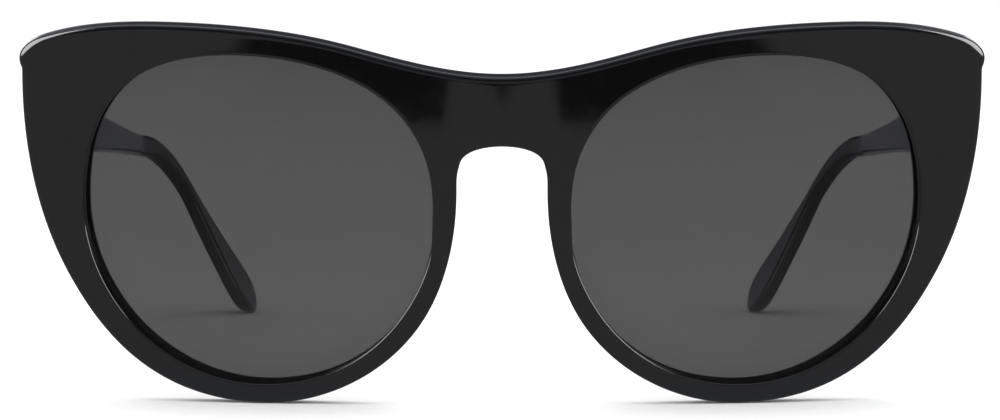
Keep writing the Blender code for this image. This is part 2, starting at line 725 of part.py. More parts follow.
def main():
    """Builds the glasses."""
    clear_scene()
    parts = new_collection("cat_eye_sunglasses")
    cutters = new_collection("cutters")
    materials = {
        "acetate": make_material("black_acetate", (0.012, 0.012, 0.013), 0.12),
        "lens": make_material("grey_lens", (0.06, 0.06, 0.063), 0.05, alpha=0.6),
        "nickel": make_material("nickel_silver", (0.55, 0.54, 0.5), 0.28, metallic=1.0),
    }
    stance = bpy.data.objects.new("front_stance", None)
    parts.objects.link(stance)
    stance.matrix_world = front_matrix()
    front = build_front(parts, cutters, materials["acetate"], stance)
    for name, side in SIDES:
        build_lens(name, side, parts, cutters, materials["lens"], stance)
        build_nose_pad(name, side, parts, materials["acetate"], stance)
        build_front_hinge(name, side, front, parts, cutters, materials["nickel"])
        build_hinge_screw(name, side, parts, materials["nickel"])
        build_temple(name, side, parts, cutters, materials)
    smooth_round_pieces(parts)


main()
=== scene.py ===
"""Cat eye sunglasses: finely made pieces, their finishes and a plain studio.

Metres, +Z up. The glasses stand open, look along -Y, and the wearer's left is +X.
"""

import logging
import math
from dataclasses import dataclass, field
from enum import Enum
from typing import Any, Callable, NamedTuple, Sequence

import bmesh
import bpy
import numpy as np
from mathutils import Matrix, Vector
from mathutils.geometry import delaunay_2d_cdt


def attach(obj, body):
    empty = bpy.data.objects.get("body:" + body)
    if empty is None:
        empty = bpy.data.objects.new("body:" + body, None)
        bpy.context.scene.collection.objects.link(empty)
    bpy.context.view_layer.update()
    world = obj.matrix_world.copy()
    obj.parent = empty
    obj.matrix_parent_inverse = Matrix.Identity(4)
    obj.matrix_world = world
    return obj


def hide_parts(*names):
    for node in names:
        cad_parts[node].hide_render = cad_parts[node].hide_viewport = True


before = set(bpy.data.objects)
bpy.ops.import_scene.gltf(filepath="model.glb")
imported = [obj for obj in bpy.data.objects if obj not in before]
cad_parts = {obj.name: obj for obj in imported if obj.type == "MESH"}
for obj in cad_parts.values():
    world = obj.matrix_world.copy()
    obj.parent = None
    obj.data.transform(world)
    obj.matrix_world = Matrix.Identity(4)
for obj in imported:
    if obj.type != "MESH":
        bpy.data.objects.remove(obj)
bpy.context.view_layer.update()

MM = 0.001
LOG = logging.getLogger("sunglasses")
Loop = np.ndarray
# A colour Mix node's two colours and result, by place because its number sockets share their names
MIX_A, MIX_B, MIX_RESULT = 6, 7, 2
# What each point of a swept bar carries: ways as vectors, and sizes
BAR_VECTORS = ("spine", "rise_way", "corner_way", "core_way")
BAR_SIZES = ("half_width", "half_height", "corner")
# How far a pocket's cutter stands out of the surface it cuts, and the width of its broken edges
OVERCUT = 0.002
CUTTER_EDGE = 0.00005


class Side(Enum):
    """The wearer's two sides, with the sign of x on each."""

    LEFT = 1
    RIGHT = -1

    @property
    def label(self) -> str:
        """The side's name in piece names."""
        return self.name.lower()


class Slot(Enum):
    """The record's material slots."""

    ACETATE = "black_acetate"
    LENS = "grey_lens"
    HINGE = "nickel_silver"
    SCREW = "steel_screw"


# ---------------------------------------------------------------- nodes and finishes


def linear(colour: str) -> tuple[float, float, float, float]:
    """Turns an sRGB hex colour into linear light.

    Args:
        colour: six hex digits after a hash.

    Returns:
        Red, green, blue and an alpha of 1.
    """
    values = [int(colour[i : i + 2], 16) / 255 for i in (1, 3, 5)]
    return (*[v / 12.92 if v <= 0.04045 else ((v + 0.055) / 1.055) ** 2.4 for v in values], 1.0)


def add_node(
    tree: bpy.types.NodeTree, kind: str, settings: dict[str, Any], inputs: dict[Any, Any]
) -> bpy.types.Node:
    """Adds one node with its settings, values and links.

    Args:
        tree: the tree to add it to.
        kind: the node's type name.
        settings: properties of the node.
        inputs: a value, or the output socket to link, for each input by name or index.

    Returns:
        The new node.
    """
    node = tree.nodes.new(kind)
    for name, value in settings.items():
        setattr(node, name, value)
    for key, value in inputs.items():
        if isinstance(value, bpy.types.NodeSocket):
            tree.links.new(value, node.inputs[key])
        else:
            node.inputs[key].default_value = value
    return node


def empty_material(name: str) -> tuple[bpy.types.Material, bpy.types.NodeTree]:
    """A node material with an empty tree."""
    material = bpy.data.materials.new(name)
    material.use_nodes = True
    material.node_tree.nodes.clear()
    return material, material.node_tree


def close_material(material: bpy.types.Material, inputs: dict[str, Any]) -> bpy.types.Material:
    """Ends a material with its shader and output.

    Args:
        material: the material with its pattern's nodes.
        inputs: a value, or the output socket to link, for each of the shader's inputs.

    Returns:
        The same material.
    """
    tree = material.node_tree
    shader = add_node(tree, "ShaderNodeBsdfPrincipled", {}, inputs)
    add_node(tree, "ShaderNodeOutputMaterial", {}, {"Surface": shader.outputs["BSDF"]})
    return material


@dataclass(frozen=True)
class TumbledAcetate:
    """Cellulose acetate, cut from sheet and tumble polished: deep black with a rippled wet gloss."""

    name: str = "tumbled_black_acetate"
    low: str = "#060607"
    high: str = "#0b0b0c"
    ior: float = 1.49
    rough_low: float = 0.055
    rough_high: float = 0.095
    haze_mm: float = 2.2
    ripple_mm: float = 7.0
    ripple_rise_mm: float = 0.06
    ripple_strength: float = 0.06
    scratch_mm: float = 0.25
    scratch_rise_mm: float = 0.01
    scratch_strength: float = 0.012

    def build(self) -> bpy.types.Material:
        """Makes the material: long soft ripples left by the drum, and a haze of fine hairlines."""
        material, tree = empty_material(self.name)
        place = add_node(tree, "ShaderNodeTexCoord", {}, {}).outputs["Object"]
        patterns = []
        for size, detail in ((self.haze_mm, 3.0), (self.ripple_mm, 1.0), (self.scratch_mm, 2.0)):
            inputs = {"Vector": place, "Scale": 1 / (size * MM), "Detail": detail}
            patterns.append(add_node(tree, "ShaderNodeTexNoise", {}, inputs).outputs["Fac"])
        haze, ripple, hairs = patterns
        inputs = {"Factor": haze, MIX_A: linear(self.low), MIX_B: linear(self.high)}
        colour = add_node(tree, "ShaderNodeMix", {"data_type": "RGBA"}, inputs)
        ends = {"From Min": 0.3, "From Max": 0.7, "To Min": self.rough_low, "To Max": self.rough_high}
        rough = add_node(tree, "ShaderNodeMapRange", {}, {"Value": haze, **ends}).outputs["Result"]
        inputs = {"Height": hairs, "Strength": self.scratch_strength, "Distance": self.scratch_rise_mm * MM}
        grain = add_node(tree, "ShaderNodeBump", {}, inputs)
        inputs = {"Height": ripple, "Strength": self.ripple_strength, "Distance": self.ripple_rise_mm * MM}
        bump = add_node(tree, "ShaderNodeBump", {}, {**inputs, "Normal": grain.outputs["Normal"]})
        shader = {"Base Color": colour.outputs[MIX_RESULT], "Roughness": rough, "IOR": self.ior}
        return close_material(material, {**shader, "Normal": bump.outputs["Normal"]})


@dataclass(frozen=True)
class DyedLens:
    """Dyed optical resin: an even neutral grey that lets some light through, with a painted reflection that
    makes it paler below.
    """

    name: str = "dyed_grey_resin"
    # top is the lens's own grey; the paler foot colour is a painted reflection of the table in the lower
    # lens
    top: str = "#111112"
    foot: str = "#252526"
    opacity: float = 0.758
    ior: float = 1.50
    coated: float = 0.1
    roughness: float = 0.03
    # The heights between which the painted reflection pales the lens
    paler_from: float = 0.034
    paler_to: float = 0.004
    mottle_per_metre: float = 60.0
    mottle: float = 0.15

    def build(self) -> bpy.types.Material:
        """Makes the material, with a painted reflection that pales it from top to foot, and its faint
        mottling.
        """
        material, tree = empty_material(self.name)
        place = add_node(tree, "ShaderNodeTexCoord", {}, {}).outputs["Object"]
        # Painted reflection: the base colour pales towards the foot by height, in place of the table's
        # reflection
        height = add_node(tree, "ShaderNodeSeparateXYZ", {}, {0: place}).outputs["Z"]
        ends = {"From Min": self.paler_to, "From Max": self.paler_from, "To Min": 1.0, "To Max": 0.0}
        settings = {"interpolation_type": "SMOOTHSTEP"}
        fall = add_node(tree, "ShaderNodeMapRange", settings, {"Value": height, **ends})
        inputs = {"Vector": place, "Scale": self.mottle_per_metre, "Detail": 1.0}
        mottle = add_node(tree, "ShaderNodeTexNoise", {}, inputs)
        settings = {"operation": "MULTIPLY_ADD", "use_clamp": True}
        inputs = {0: mottle.outputs["Fac"], 1: self.mottle, 2: fall.outputs["Result"]}
        mixed = add_node(tree, "ShaderNodeMath", settings, inputs).outputs[0]
        inputs = {"Factor": mixed, MIX_A: linear(self.top), MIX_B: linear(self.foot)}
        colour = add_node(tree, "ShaderNodeMix", {"data_type": "RGBA"}, inputs).outputs[MIX_RESULT]
        gloss = {"Roughness": self.roughness, "IOR": self.ior, "Specular IOR Level": self.coated}
        return close_material(material, {"Base Color": colour, **gloss, "Alpha": self.opacity})


@dataclass(frozen=True)
class WorkedMetal:
    """A metal with the marks of its making: short streaks along one way, and darker where it holds dirt."""

    name: str
    light: str
    dark: str
    rough_low: float
    rough_high: float
    streak_mm: tuple[float, float, float]
    streak_rise_mm: float = 0.01
    streak_strength: float = 0.15

    def build(self) -> bpy.types.Material:
        """Makes the material, with streaks that run along the longest side of streak_mm."""
        material, tree = empty_material(self.name)
        place = add_node(tree, "ShaderNodeTexCoord", {}, {}).outputs["Object"]
        scale = tuple(1 / (side * MM) for side in self.streak_mm)
        stretched = add_node(tree, "ShaderNodeMapping", {}, {"Vector": place, "Scale": scale}).outputs[0]
        inputs = {"Vector": stretched, "Scale": 1.0, "Detail": 3.0}
        streaks = add_node(tree, "ShaderNodeTexNoise", {}, inputs).outputs["Fac"]
        inputs = {"Factor": streaks, MIX_A: linear(self.dark), MIX_B: linear(self.light)}
        colour = add_node(tree, "ShaderNodeMix", {"data_type": "RGBA"}, inputs).outputs[MIX_RESULT]
        ends = {"From Min": 0.3, "From Max": 0.7, "To Min": self.rough_high, "To Max": self.rough_low}
        rough = add_node(tree, "ShaderNodeMapRange", {}, {"Value": streaks, **ends}).outputs["Result"]
        inputs = {"Height": streaks, "Strength": self.streak_strength, "Distance": self.streak_rise_mm * MM}
        bump = add_node(tree, "ShaderNodeBump", {}, inputs).outputs["Normal"]
        return close_material(
            material, {"Base Color": colour, "Metallic": 1.0, "Roughness": rough, "Normal": bump}
        )


# Nickel silver, stamped and barrel polished: warm pale grey with fine lengthwise streaks
STAMPED_HINGE = WorkedMetal("stamped_nickel_silver", "#c4bfb2", "#99958b", 0.18, 0.34, (0.12, 0.12, 1.6))
# Stainless steel, turned: cooler and brighter than the hinge, with tight tool marks
TURNED_SCREW = WorkedMetal("turned_stainless_steel", "#d3d4d6", "#a9abae", 0.14, 0.26, (0.4, 0.4, 0.08))
# Nickel silver wire, cold drawn: dull bright with long draw lines
DRAWN_WIRE = WorkedMetal("drawn_nickel_silver_wire", "#b7b3a8", "#8d897f", 0.24, 0.4, (0.1, 3.0, 0.1))


@dataclass
class Finishes:
    """Every finish of the glasses, made once."""

    acetate: bpy.types.Material = field(default_factory=TumbledAcetate().build)
    lens: bpy.types.Material = field(default_factory=DyedLens().build)
    hinge: bpy.types.Material = field(default_factory=STAMPED_HINGE.build)
    screw: bpy.types.Material = field(default_factory=TURNED_SCREW.build)
    wire: bpy.types.Material = field(default_factory=DRAWN_WIRE.build)


# ---------------------------------------------------------------- outlines and meshes


class Knot(NamedTuple):
    """A point of an outline in millimetres, with its heading and the lengths of its two handles."""

    x: float
    z: float
    heading: float
    reach_in: float
    reach_out: float


def mirrored(knots: Sequence[Knot]) -> tuple[Knot, ...]:
    """The same outline on the other side of x = 0, walked the other way."""
    return tuple(Knot(-k.x, k.z, -k.heading, k.reach_out, k.reach_in) for k in reversed(knots))


def even_loop(knots: Sequence[Knot], spacing: float) -> Loop:
    """Walks a closed outline in even steps.

    Args:
        knots: the outline's knots, in millimetres.
        spacing: the step in metres.

    Returns:
        Points of (x, z) in metres, anticlockwise.
    """
    corners = []
    for knot in knots:
        way = np.array([math.cos(math.radians(knot.heading)), math.sin(math.radians(knot.heading))])
        middle = np.array([knot.x, knot.z])
        corners.append((middle - way * knot.reach_in, middle, middle + way * knot.reach_out))
    t = np.linspace(0, 1, 80, endpoint=False)[:, None]
    spans = []
    for first, second in zip(corners, corners[1:] + corners[:1]):
        a, b, c, d = first[1], first[2], second[0], second[1]
        spans.append((1 - t) ** 3 * a + 3 * t * (1 - t) ** 2 * b + 3 * t**2 * (1 - t) * c + t**3 * d)
    dense = np.concatenate(spans) * MM
    closed = np.vstack([dense, dense[:1]])
    walked = np.concatenate([[0], np.cumsum(np.linalg.norm(np.diff(closed, axis=0), axis=1))])
    count = round(walked[-1] / spacing)
    places = np.linspace(0, walked[-1], count, endpoint=False)
    loop = np.column_stack([np.interp(places, walked, closed[:, i]) for i in (0, 1)])
    x, z = loop.T
    area = np.sum(x * np.roll(z, -1) - np.roll(x, -1) * z)
    return loop if area > 0 else loop[::-1].copy()


def grown(loop: Loop, distance: float) -> Loop:
    """The loop moved outwards by distance, or inwards where it is negative."""
    along = np.roll(loop, -1, axis=0) - np.roll(loop, 1, axis=0)
    along /= np.linalg.norm(along, axis=1)[:, None]
    return loop + distance * np.column_stack([along[:, 1], -along[:, 0]])


def within(points: np.ndarray, loop: Loop) -> np.ndarray:
    """Which points lie inside a loop, by the even-odd rule."""
    x, z = points[:, 0, None], points[:, 1, None]
    x0, z0 = loop.T
    x1, z1 = np.roll(loop, -1, axis=0).T
    crosses = (z0 > z) != (z1 > z)
    height = np.where(z1 == z0, 1e-12, z1 - z0)
    return (crosses & (x < (x1 - x0) * (z - z0) / height + x0)).sum(axis=1) % 2 == 1


def edge_round(reach: float, fall: float, steps: int, guard: float) -> list[tuple[float, float]]:
    """A polished edge as (inset, depth) pairs, from the flat face to the wall.

    Args:
        reach: how far the rounding runs over the face.
        fall: how far it runs down the wall.
        steps: how many bands it has.
        guard: the width of a flat band beside it, which keeps the face's shading even.

    Returns:
        The pairs, beginning with the flat band.
    """
    turns = [math.radians(90) * i / steps for i in range(steps + 1)]
    rounded = [(reach * (1 - math.sin(turn)), fall * (1 - math.cos(turn))) for turn in turns]
    return [(reach + guard, 0.0)] + rounded


def added(name: str, data: bpy.types.ID) -> bpy.types.Object:
    """A new object in the scene that holds this data."""
    obj = bpy.data.objects.new(name, data)
    bpy.context.scene.collection.objects.link(obj)
    return obj


def from_bmesh(name: str, bm: bmesh.types.BMesh) -> bpy.types.Object:
    """A new object in the scene with this mesh, which is then freed."""
    mesh = bpy.data.meshes.new(name)
    bm.to_mesh(mesh)
    bm.free()
    return added(name, mesh)


class Shell:
    """A closed mesh made of loops, bands between them and filled regions."""

    def __init__(self, name: str) -> None:
        """Starts an empty shell.

        Args:
            name: the finished piece's name.
        """
        self.name = name
        self.bm = bmesh.new()

    def ring(self, points: Sequence[Vector]) -> list[bmesh.types.BMVert]:
        """Adds one closed loop of points."""
        return [self.bm.verts.new(point) for point in points]

    def bands(self, rings: Sequence[Sequence[bmesh.types.BMVert]]) -> None:
        """Joins each ring to the next."""
        for first, second in zip(rings, rings[1:]):
            count = len(first)
            for i in range(count):
                j = (i + 1) % count
                self.bm.faces.new((first[i], first[j], second[j], second[i]))

    def fill(
        self,
        rings: Sequence[Sequence[bmesh.types.BMVert]],
        spacing: float,
        place: Callable[[float, float], Vector],
    ) -> None:
        """Fills the region inside the first ring and outside the others with even triangles.

        Args:
            rings: the outer ring and then the holes, in the piece's own frame.
            spacing: the distance between the points inside.
            place: gives the surface's point at (x, z).
        """
        loops = [np.array([(v.co.x, v.co.z) for v in ring]) for ring in rings]
        edge_points = np.concatenate(loops)
        low, high = edge_points.min(axis=0), edge_points.max(axis=0)
        grid = np.array(
            [
                (x + (row % 2) * spacing / 2, z)
                for row, z in enumerate(np.arange(low[1], high[1], spacing * 0.87))
                for x in np.arange(low[0], high[0], spacing)
            ]
        )
        keep = within(grid, loops[0])
        for loop in loops[1:]:
            keep &= ~within(grid, loop)
        grid = grid[keep]
        apart = np.array([np.min(np.sum((edge_points - point) ** 2, axis=1)) for point in grid])
        grid = grid[apart > (0.6 * spacing) ** 2]
        edges, start = [], 0
        for loop in loops:
            edges += [(start + i, start + (i + 1) % len(loop)) for i in range(len(loop))]
            start += len(loop)
        flat = [Vector(point) for point in np.concatenate([edge_points, grid])]
        found, _, triangles, sources, _, _ = delaunay_2d_cdt(flat, edges, [], 1, 1e-9)
        corners = np.array([(point.x, point.y) for point in found])
        middles = corners[np.array(triangles)].mean(axis=1)
        keep = within(middles, loops[0])
        for loop in loops[1:]:
            keep &= ~within(middles, loop)
        known = [vert for ring in rings for vert in ring]
        firsts = [source[0] for source in sources]
        verts = [known[i] if i < len(known) else self.bm.verts.new(place(*flat[i])) for i in firsts]
        for triangle, inside in zip(triangles, keep):
            if inside:
                self.bm.faces.new([verts[i] for i in triangle])

    def finish(self, place: Matrix | None = None, sharp: float = 38) -> bpy.types.Object:
        """Closes the shell into an object.

        Args:
            place: where the piece's own frame lies.
            sharp: the angle in degrees past which an edge stays sharp.

        Returns:
            The object, at the origin with its place in its mesh.
        """
        if place is not None:
            bmesh.ops.transform(self.bm, matrix=place, verts=self.bm.verts)
        bmesh.ops.recalc_face_normals(self.bm, faces=self.bm.faces)
        obj = from_bmesh(self.name, self.bm)
        shade(obj, sharp)
        return obj


def shade(obj: bpy.types.Object, sharp: float = 38) -> None:
    """Shades smooth, with edges past this angle kept sharp."""
    obj.data.shade_smooth()
    obj.data.set_sharp_from_angle(angle=math.radians(sharp))


def settle(obj: bpy.types.Object, even_shading: bool = True) -> bpy.types.Object:
    """Turns an object and its modifiers into a plain mesh.

    Args:
        obj: the object.
        even_shading: whether large faces set the shading at their edges.

    Returns:
        The same object with no modifiers.
    """
    if even_shading:
        normals = obj.modifiers.new("even shading", "WEIGHTED_NORMAL")
        normals.keep_sharp = True
        normals.weight = 60
    bpy.context.view_layer.update()
    graph = bpy.context.evaluated_depsgraph_get()
    source = obj.evaluated_get(graph)
    mesh = bpy.data.meshes.new_from_object(source, preserve_all_data_layers=True, depsgraph=graph)
    obj.modifiers.clear()
    old, obj.data = obj.data, mesh
    bpy.data.meshes.remove(old)
    mesh.name = obj.name
    return obj


def cut(obj: bpy.types.Object, cutters: Sequence[bpy.types.Object]) -> None:
    """Cuts the cutters out of an object, settles it and removes them."""
    for cutter in cutters:
        modifier = obj.modifiers.new(cutter.name, "BOOLEAN")
        modifier.operation = "DIFFERENCE"
        modifier.solver = "EXACT"
        modifier.object = cutter
    settle(obj, even_shading=False)
    for cutter in cutters:
        bpy.data.objects.remove(cutter, do_unlink=True)
    shade(obj)


def lofted(
    name: str, rings: Sequence[Sequence[Vector]], place: Matrix | None = None, sharp: float = 38
) -> bpy.types.Object:
    """A closed solid through rings of equal count.

    Args:
        name: the piece's name.
        rings: its sections, first to last.
        place: where its own frame lies.
        sharp: the angle past which an edge stays sharp.

    Returns:
        The object.
    """
    shell = Shell(name)
    loops = [shell.ring(ring) for ring in rings]
    shell.bands(loops)
    shell.bm.faces.new(loops[0])
    shell.bm.faces.new(loops[-1])
    return shell.finish(place, sharp)


def rounded_rectangle(
    width: float, height: float, radius: float, steps: int = 5
) -> list[tuple[float, float]]:
    """A rectangle with round corners about its middle."""
    points = []
    for quarter, (sx, sy) in enumerate(((1, 1), (-1, 1), (-1, -1), (1, -1))):
        for step in range(steps + 1):
            turn = math.radians(90) * (quarter + step / steps)
            across = sx * (width / 2 - radius) + radius * math.cos(turn)
            points.append((across, sy * (height / 2 - radius) + radius * math.sin(turn)))
    return points


def slab(
    name: str, size: Vector, middle: Vector, radius: float, chamfer: float, place: Matrix
) -> bpy.types.Object:
    """A plate whose thickness runs along its own Y, with round corners and broken edges.

    Args:
        name: the piece's name.
        size: its sides.
        middle: its middle in its own frame.
        radius: the corners' radius.
        chamfer: the width of the broken edges.
        place: where its own frame lies.

    Returns:
        The object.
    """
    rings = []
    levels = [(chamfer, 0.0), (chamfer * 0.3, chamfer * 0.3), (0.0, chamfer)]
    levels += [(inset, size.y - depth) for inset, depth in reversed(levels)]
    for inset, depth in levels:
        flat = rounded_rectangle(size.x - 2 * inset, size.z - 2 * inset, max(radius - inset, 0.00002))
        rings.append([middle + Vector((x, depth - size.y / 2, z)) for x, z in flat])
    return lofted(name, rings, place, 50)


# ---------------------------------------------------------------- geometry node trees


class Tree:
    """A geometry node tree with named inputs."""

    def __init__(self, name: str, inputs: dict[str, str]) -> None:
        """Starts a tree.

        Args:
            name: the tree's name.
            inputs: the socket type of each named input after the geometry.
        """
        self.tree = bpy.data.node_groups.new(name, "GeometryNodeTree")
        self.tree.interface.new_socket(name="Geometry", in_out="INPUT", socket_type="NodeSocketGeometry")
        self.identifiers = {}
        for label, kind in {**inputs, "Material": "NodeSocketMaterial"}.items():
            item = self.tree.interface.new_socket(name=label, in_out="INPUT", socket_type=kind)
            self.identifiers[label] = item.identifier
        self.tree.interface.new_socket(name="Geometry", in_out="OUTPUT", socket_type="NodeSocketGeometry")
        self.source = self.tree.nodes.new("NodeGroupInput").outputs

    def add(self, kind: str, settings: dict[str, Any], inputs: dict[Any, Any]) -> bpy.types.Node:
        """Adds one node."""
        return add_node(self.tree, kind, settings, inputs)

    def close(self, geometry: bpy.types.NodeSocket) -> None:
        """Ends the tree with its copies made real and dressed."""
        real = self.add("GeometryNodeRealizeInstances", {}, {"Geometry": geometry})
        inputs = {"Geometry": real.outputs[0], "Material": self.source["Material"]}
        dressed = self.add("GeometryNodeSetMaterial", {}, inputs)
        self.add("NodeGroupOutput", {}, {"Geometry": dressed.outputs[0]})

    def run(self, obj: bpy.types.Object, values: dict[str, Any]) -> bpy.types.Object:
        """Runs the tree on an object and leaves a plain mesh.

        Args:
            obj: the object whose mesh is the tree's geometry.
            values: a value for each named input.

        Returns:
            The same object.
        """
        modifier = obj.modifiers.new(self.tree.name, "NODES")
        modifier.node_group = self.tree
        for label, value in values.items():
            modifier[self.identifiers[label]] = value
        return settle(obj, even_shading=False)


def bar_tree() -> Tree:
    """A rounded bar swept along a spine whose points carry the size of each section.

    Returns:
        The tree. Its geometry is the spine, a line of edges with the attributes spine, rise_way,
        half_width, half_height and corner.
    """
    tree = Tree("rounded bar", {"Corner Steps": "NodeSocketInt"})
    index = tree.add("GeometryNodeInputIndex", {}, {}).outputs[0]
    values = {"steps": tree.source["Corner Steps"], "index": index}
    for result, operation, first, second in (
        ("per", "ADD", "steps", 1.0),
        ("count", "MULTIPLY", "per", 4.0),
        ("share", "DIVIDE", "index", "per"),
        ("quarter", "FLOOR", "share", 0.0),
        ("step", "MODULO", "index", "per"),
        ("part", "DIVIDE", "step", "steps"),
        ("corner_turn", "ADD", "quarter", "part"),
        ("core_turn", "ADD", "quarter", 0.5),
    ):
        inputs = {0: values[first], 1: values.get(second, second)}
        values[result] = tree.add("ShaderNodeMath", {"operation": operation}, inputs).outputs[0]
    inputs = {"Resolution": values["count"], "Radius": 0.001}
    profile = tree.add("GeometryNodeCurvePrimitiveCircle", {}, inputs).outputs["Curve"]
    for label in ("corner", "core"):
        inputs = {0: values[f"{label}_turn"], 1: math.pi / 2}
        angle = tree.add("ShaderNodeMath", {"operation": "MULTIPLY"}, inputs).outputs[0]
        pair = []
        for operation in ("COSINE", "SINE"):
            wave = tree.add("ShaderNodeMath", {"operation": operation}, {0: angle}).outputs[0]
            if label == "core":
                wave = tree.add("ShaderNodeMath", {"operation": "SIGN"}, {0: wave}).outputs[0]
            pair.append(wave)
        way = tree.add("ShaderNodeCombineXYZ", {}, {0: pair[0], 1: pair[1]}).outputs[0]
        settings = {"data_type": "FLOAT_VECTOR", "domain": "POINT"}
        inputs = {"Geometry": profile, "Name": f"{label}_way", "Value": way}
        profile = tree.add("GeometryNodeStoreNamedAttribute", settings, inputs).outputs[0]
    spine = tree.add("GeometryNodeMeshToCurve", {}, {"Mesh": tree.source["Geometry"]}).outputs[0]
    inputs = {"Curve": spine, "Profile Curve": profile, "Fill Caps": True}
    swept = tree.add("GeometryNodeCurveToMesh", {}, inputs).outputs[0]
    read = {}
    for kind, labels in (("FLOAT_VECTOR", BAR_VECTORS), ("FLOAT", BAR_SIZES)):
        for label in labels:
            node = tree.add("GeometryNodeInputNamedAttribute", {"data_type": kind}, {"Name": label})
            read[label] = node.outputs[0]
    core = tree.add("ShaderNodeSeparateXYZ", {}, {0: read["core_way"]}).outputs
    corner = tree.add("ShaderNodeSeparateXYZ", {}, {0: read["corner_way"]}).outputs
    reaches = []
    for axis, size in ((0, "half_width"), (1, "half_height")):
        inputs = {0: read[size], 1: read["corner"]}
        flat = tree.add("ShaderNodeMath", {"operation": "SUBTRACT"}, inputs).outputs[0]
        flat = tree.add("ShaderNodeMath", {"operation": "MULTIPLY"}, {0: flat, 1: core[axis]}).outputs[0]
        inputs = {0: read["corner"], 1: corner[axis], 2: flat}
        reaches.append(tree.add("ShaderNodeMath", {"operation": "MULTIPLY_ADD"}, inputs).outputs[0])
    across = tree.add("ShaderNodeCombineXYZ", {}, {0: reaches[0]}).outputs[0]
    inputs = {0: read["rise_way"], "Scale": reaches[1]}
    place = tree.add("ShaderNodeVectorMath", {"operation": "SCALE"}, inputs).outputs[0]
    for moved_by in (across, read["spine"]):
        place = tree.add("ShaderNodeVectorMath", {"operation": "ADD"}, {0: place, 1: moved_by}).outputs[0]
    tree.close(tree.add("GeometryNodeSetPosition", {}, {"Geometry": swept, "Position": place}).outputs[0])
    return tree


def knuckle_tree() -> Tree:
    """One knuckle repeated along the hinge pin.

    Returns:
        The tree. Its geometry is the lowest knuckle.
    """
    tree = Tree("knuckle stack", {"Count": "NodeSocketInt", "Pitch": "NodeSocketFloat"})
    step = tree.add("ShaderNodeCombineXYZ", {}, {2: tree.source["Pitch"]}).outputs[0]
    line = tree.add("GeometryNodeMeshLine", {}, {"Count": tree.source["Count"], "Offset": step}).outputs[0]
    inputs = {"Points": line, "Instance": tree.source["Geometry"]}
    tree.close(tree.add("GeometryNodeInstanceOnPoints", {}, inputs).outputs[0])
    return tree


def screw_tree() -> Tree:
    """A screw set on every point, along the point's own way and turned at random.

    Returns:
        The tree. Its geometry is the points, with the attribute way.
    """
    tree = Tree("set screws", {"Screw": "NodeSocketObject", "Seed": "NodeSocketInt"})
    settings = {"data_type": "FLOAT_VECTOR"}
    way = tree.add("GeometryNodeInputNamedAttribute", settings, {"Name": "way"}).outputs[0]
    upright = tree.add("FunctionNodeAlignRotationToVector", {"axis": "Z"}, {"Vector": way}).outputs[0]
    inputs = {2: 0.0, 3: math.tau, "Seed": tree.source["Seed"]}
    roll = tree.add("FunctionNodeRandomValue", {"data_type": "FLOAT"}, inputs).outputs[1]
    turn = tree.add("FunctionNodeAxisAngleToRotation", {}, {"Axis": (0, 0, 1), "Angle": roll}).outputs[0]
    inputs = {"Rotation": upright, "Rotate By": turn}
    turned = tree.add("FunctionNodeRotateRotation", {"rotation_space": "LOCAL"}, inputs).outputs[0]
    screw = tree.add("GeometryNodeObjectInfo", {}, {"Object": tree.source["Screw"]}).outputs["Geometry"]
    inputs = {"Points": tree.source["Geometry"], "Instance": screw, "Rotation": turned}
    tree.close(tree.add("GeometryNodeInstanceOnPoints", {}, inputs).outputs[0])
    return tree


# ---------------------------------------------------------------- the glasses

FRONT_KNOTS = (
    Knot(0, 50.4, 0, 8.9, 8.9),
    Knot(23.6, 54.7, 14, 6.6, 7.2),
    Knot(51.4, 57.6, 0, 12.1, 10),
    Knot(69.4, 55.3, -18, 3, 5.9),
    Knot(72.9, 50.3, -90, 0.2, 3.4),
    Knot(66.1, 18.7, -119, 15.3, 11.1),
    Knot(36.2, 0, 180, 16.4, 7.4),
    Knot(13.3, 11.2, 128, 10, 7.5),
    Knot(6.8, 32.8, 90, 7.4, 2.5),
    Knot(6.3, 37.3, 105, 1.9, 2),
    Knot(0, 39.9, 180, 2.6, 2.6),
)
LENS_KNOTS = (
    Knot(3.3, 25.2, 0, 11.4, 20.2),
    Knot(27.1, 2.1, -90, 10.7, 15.2),
    Knot(-0.1, -25.1, 180, 14.3, 20.5),
    Knot(-26.5, -2.9, 90, 3.9, 5.0),
    Knot(-22.1, 16.0, 51, 9.1, 7.3),
)


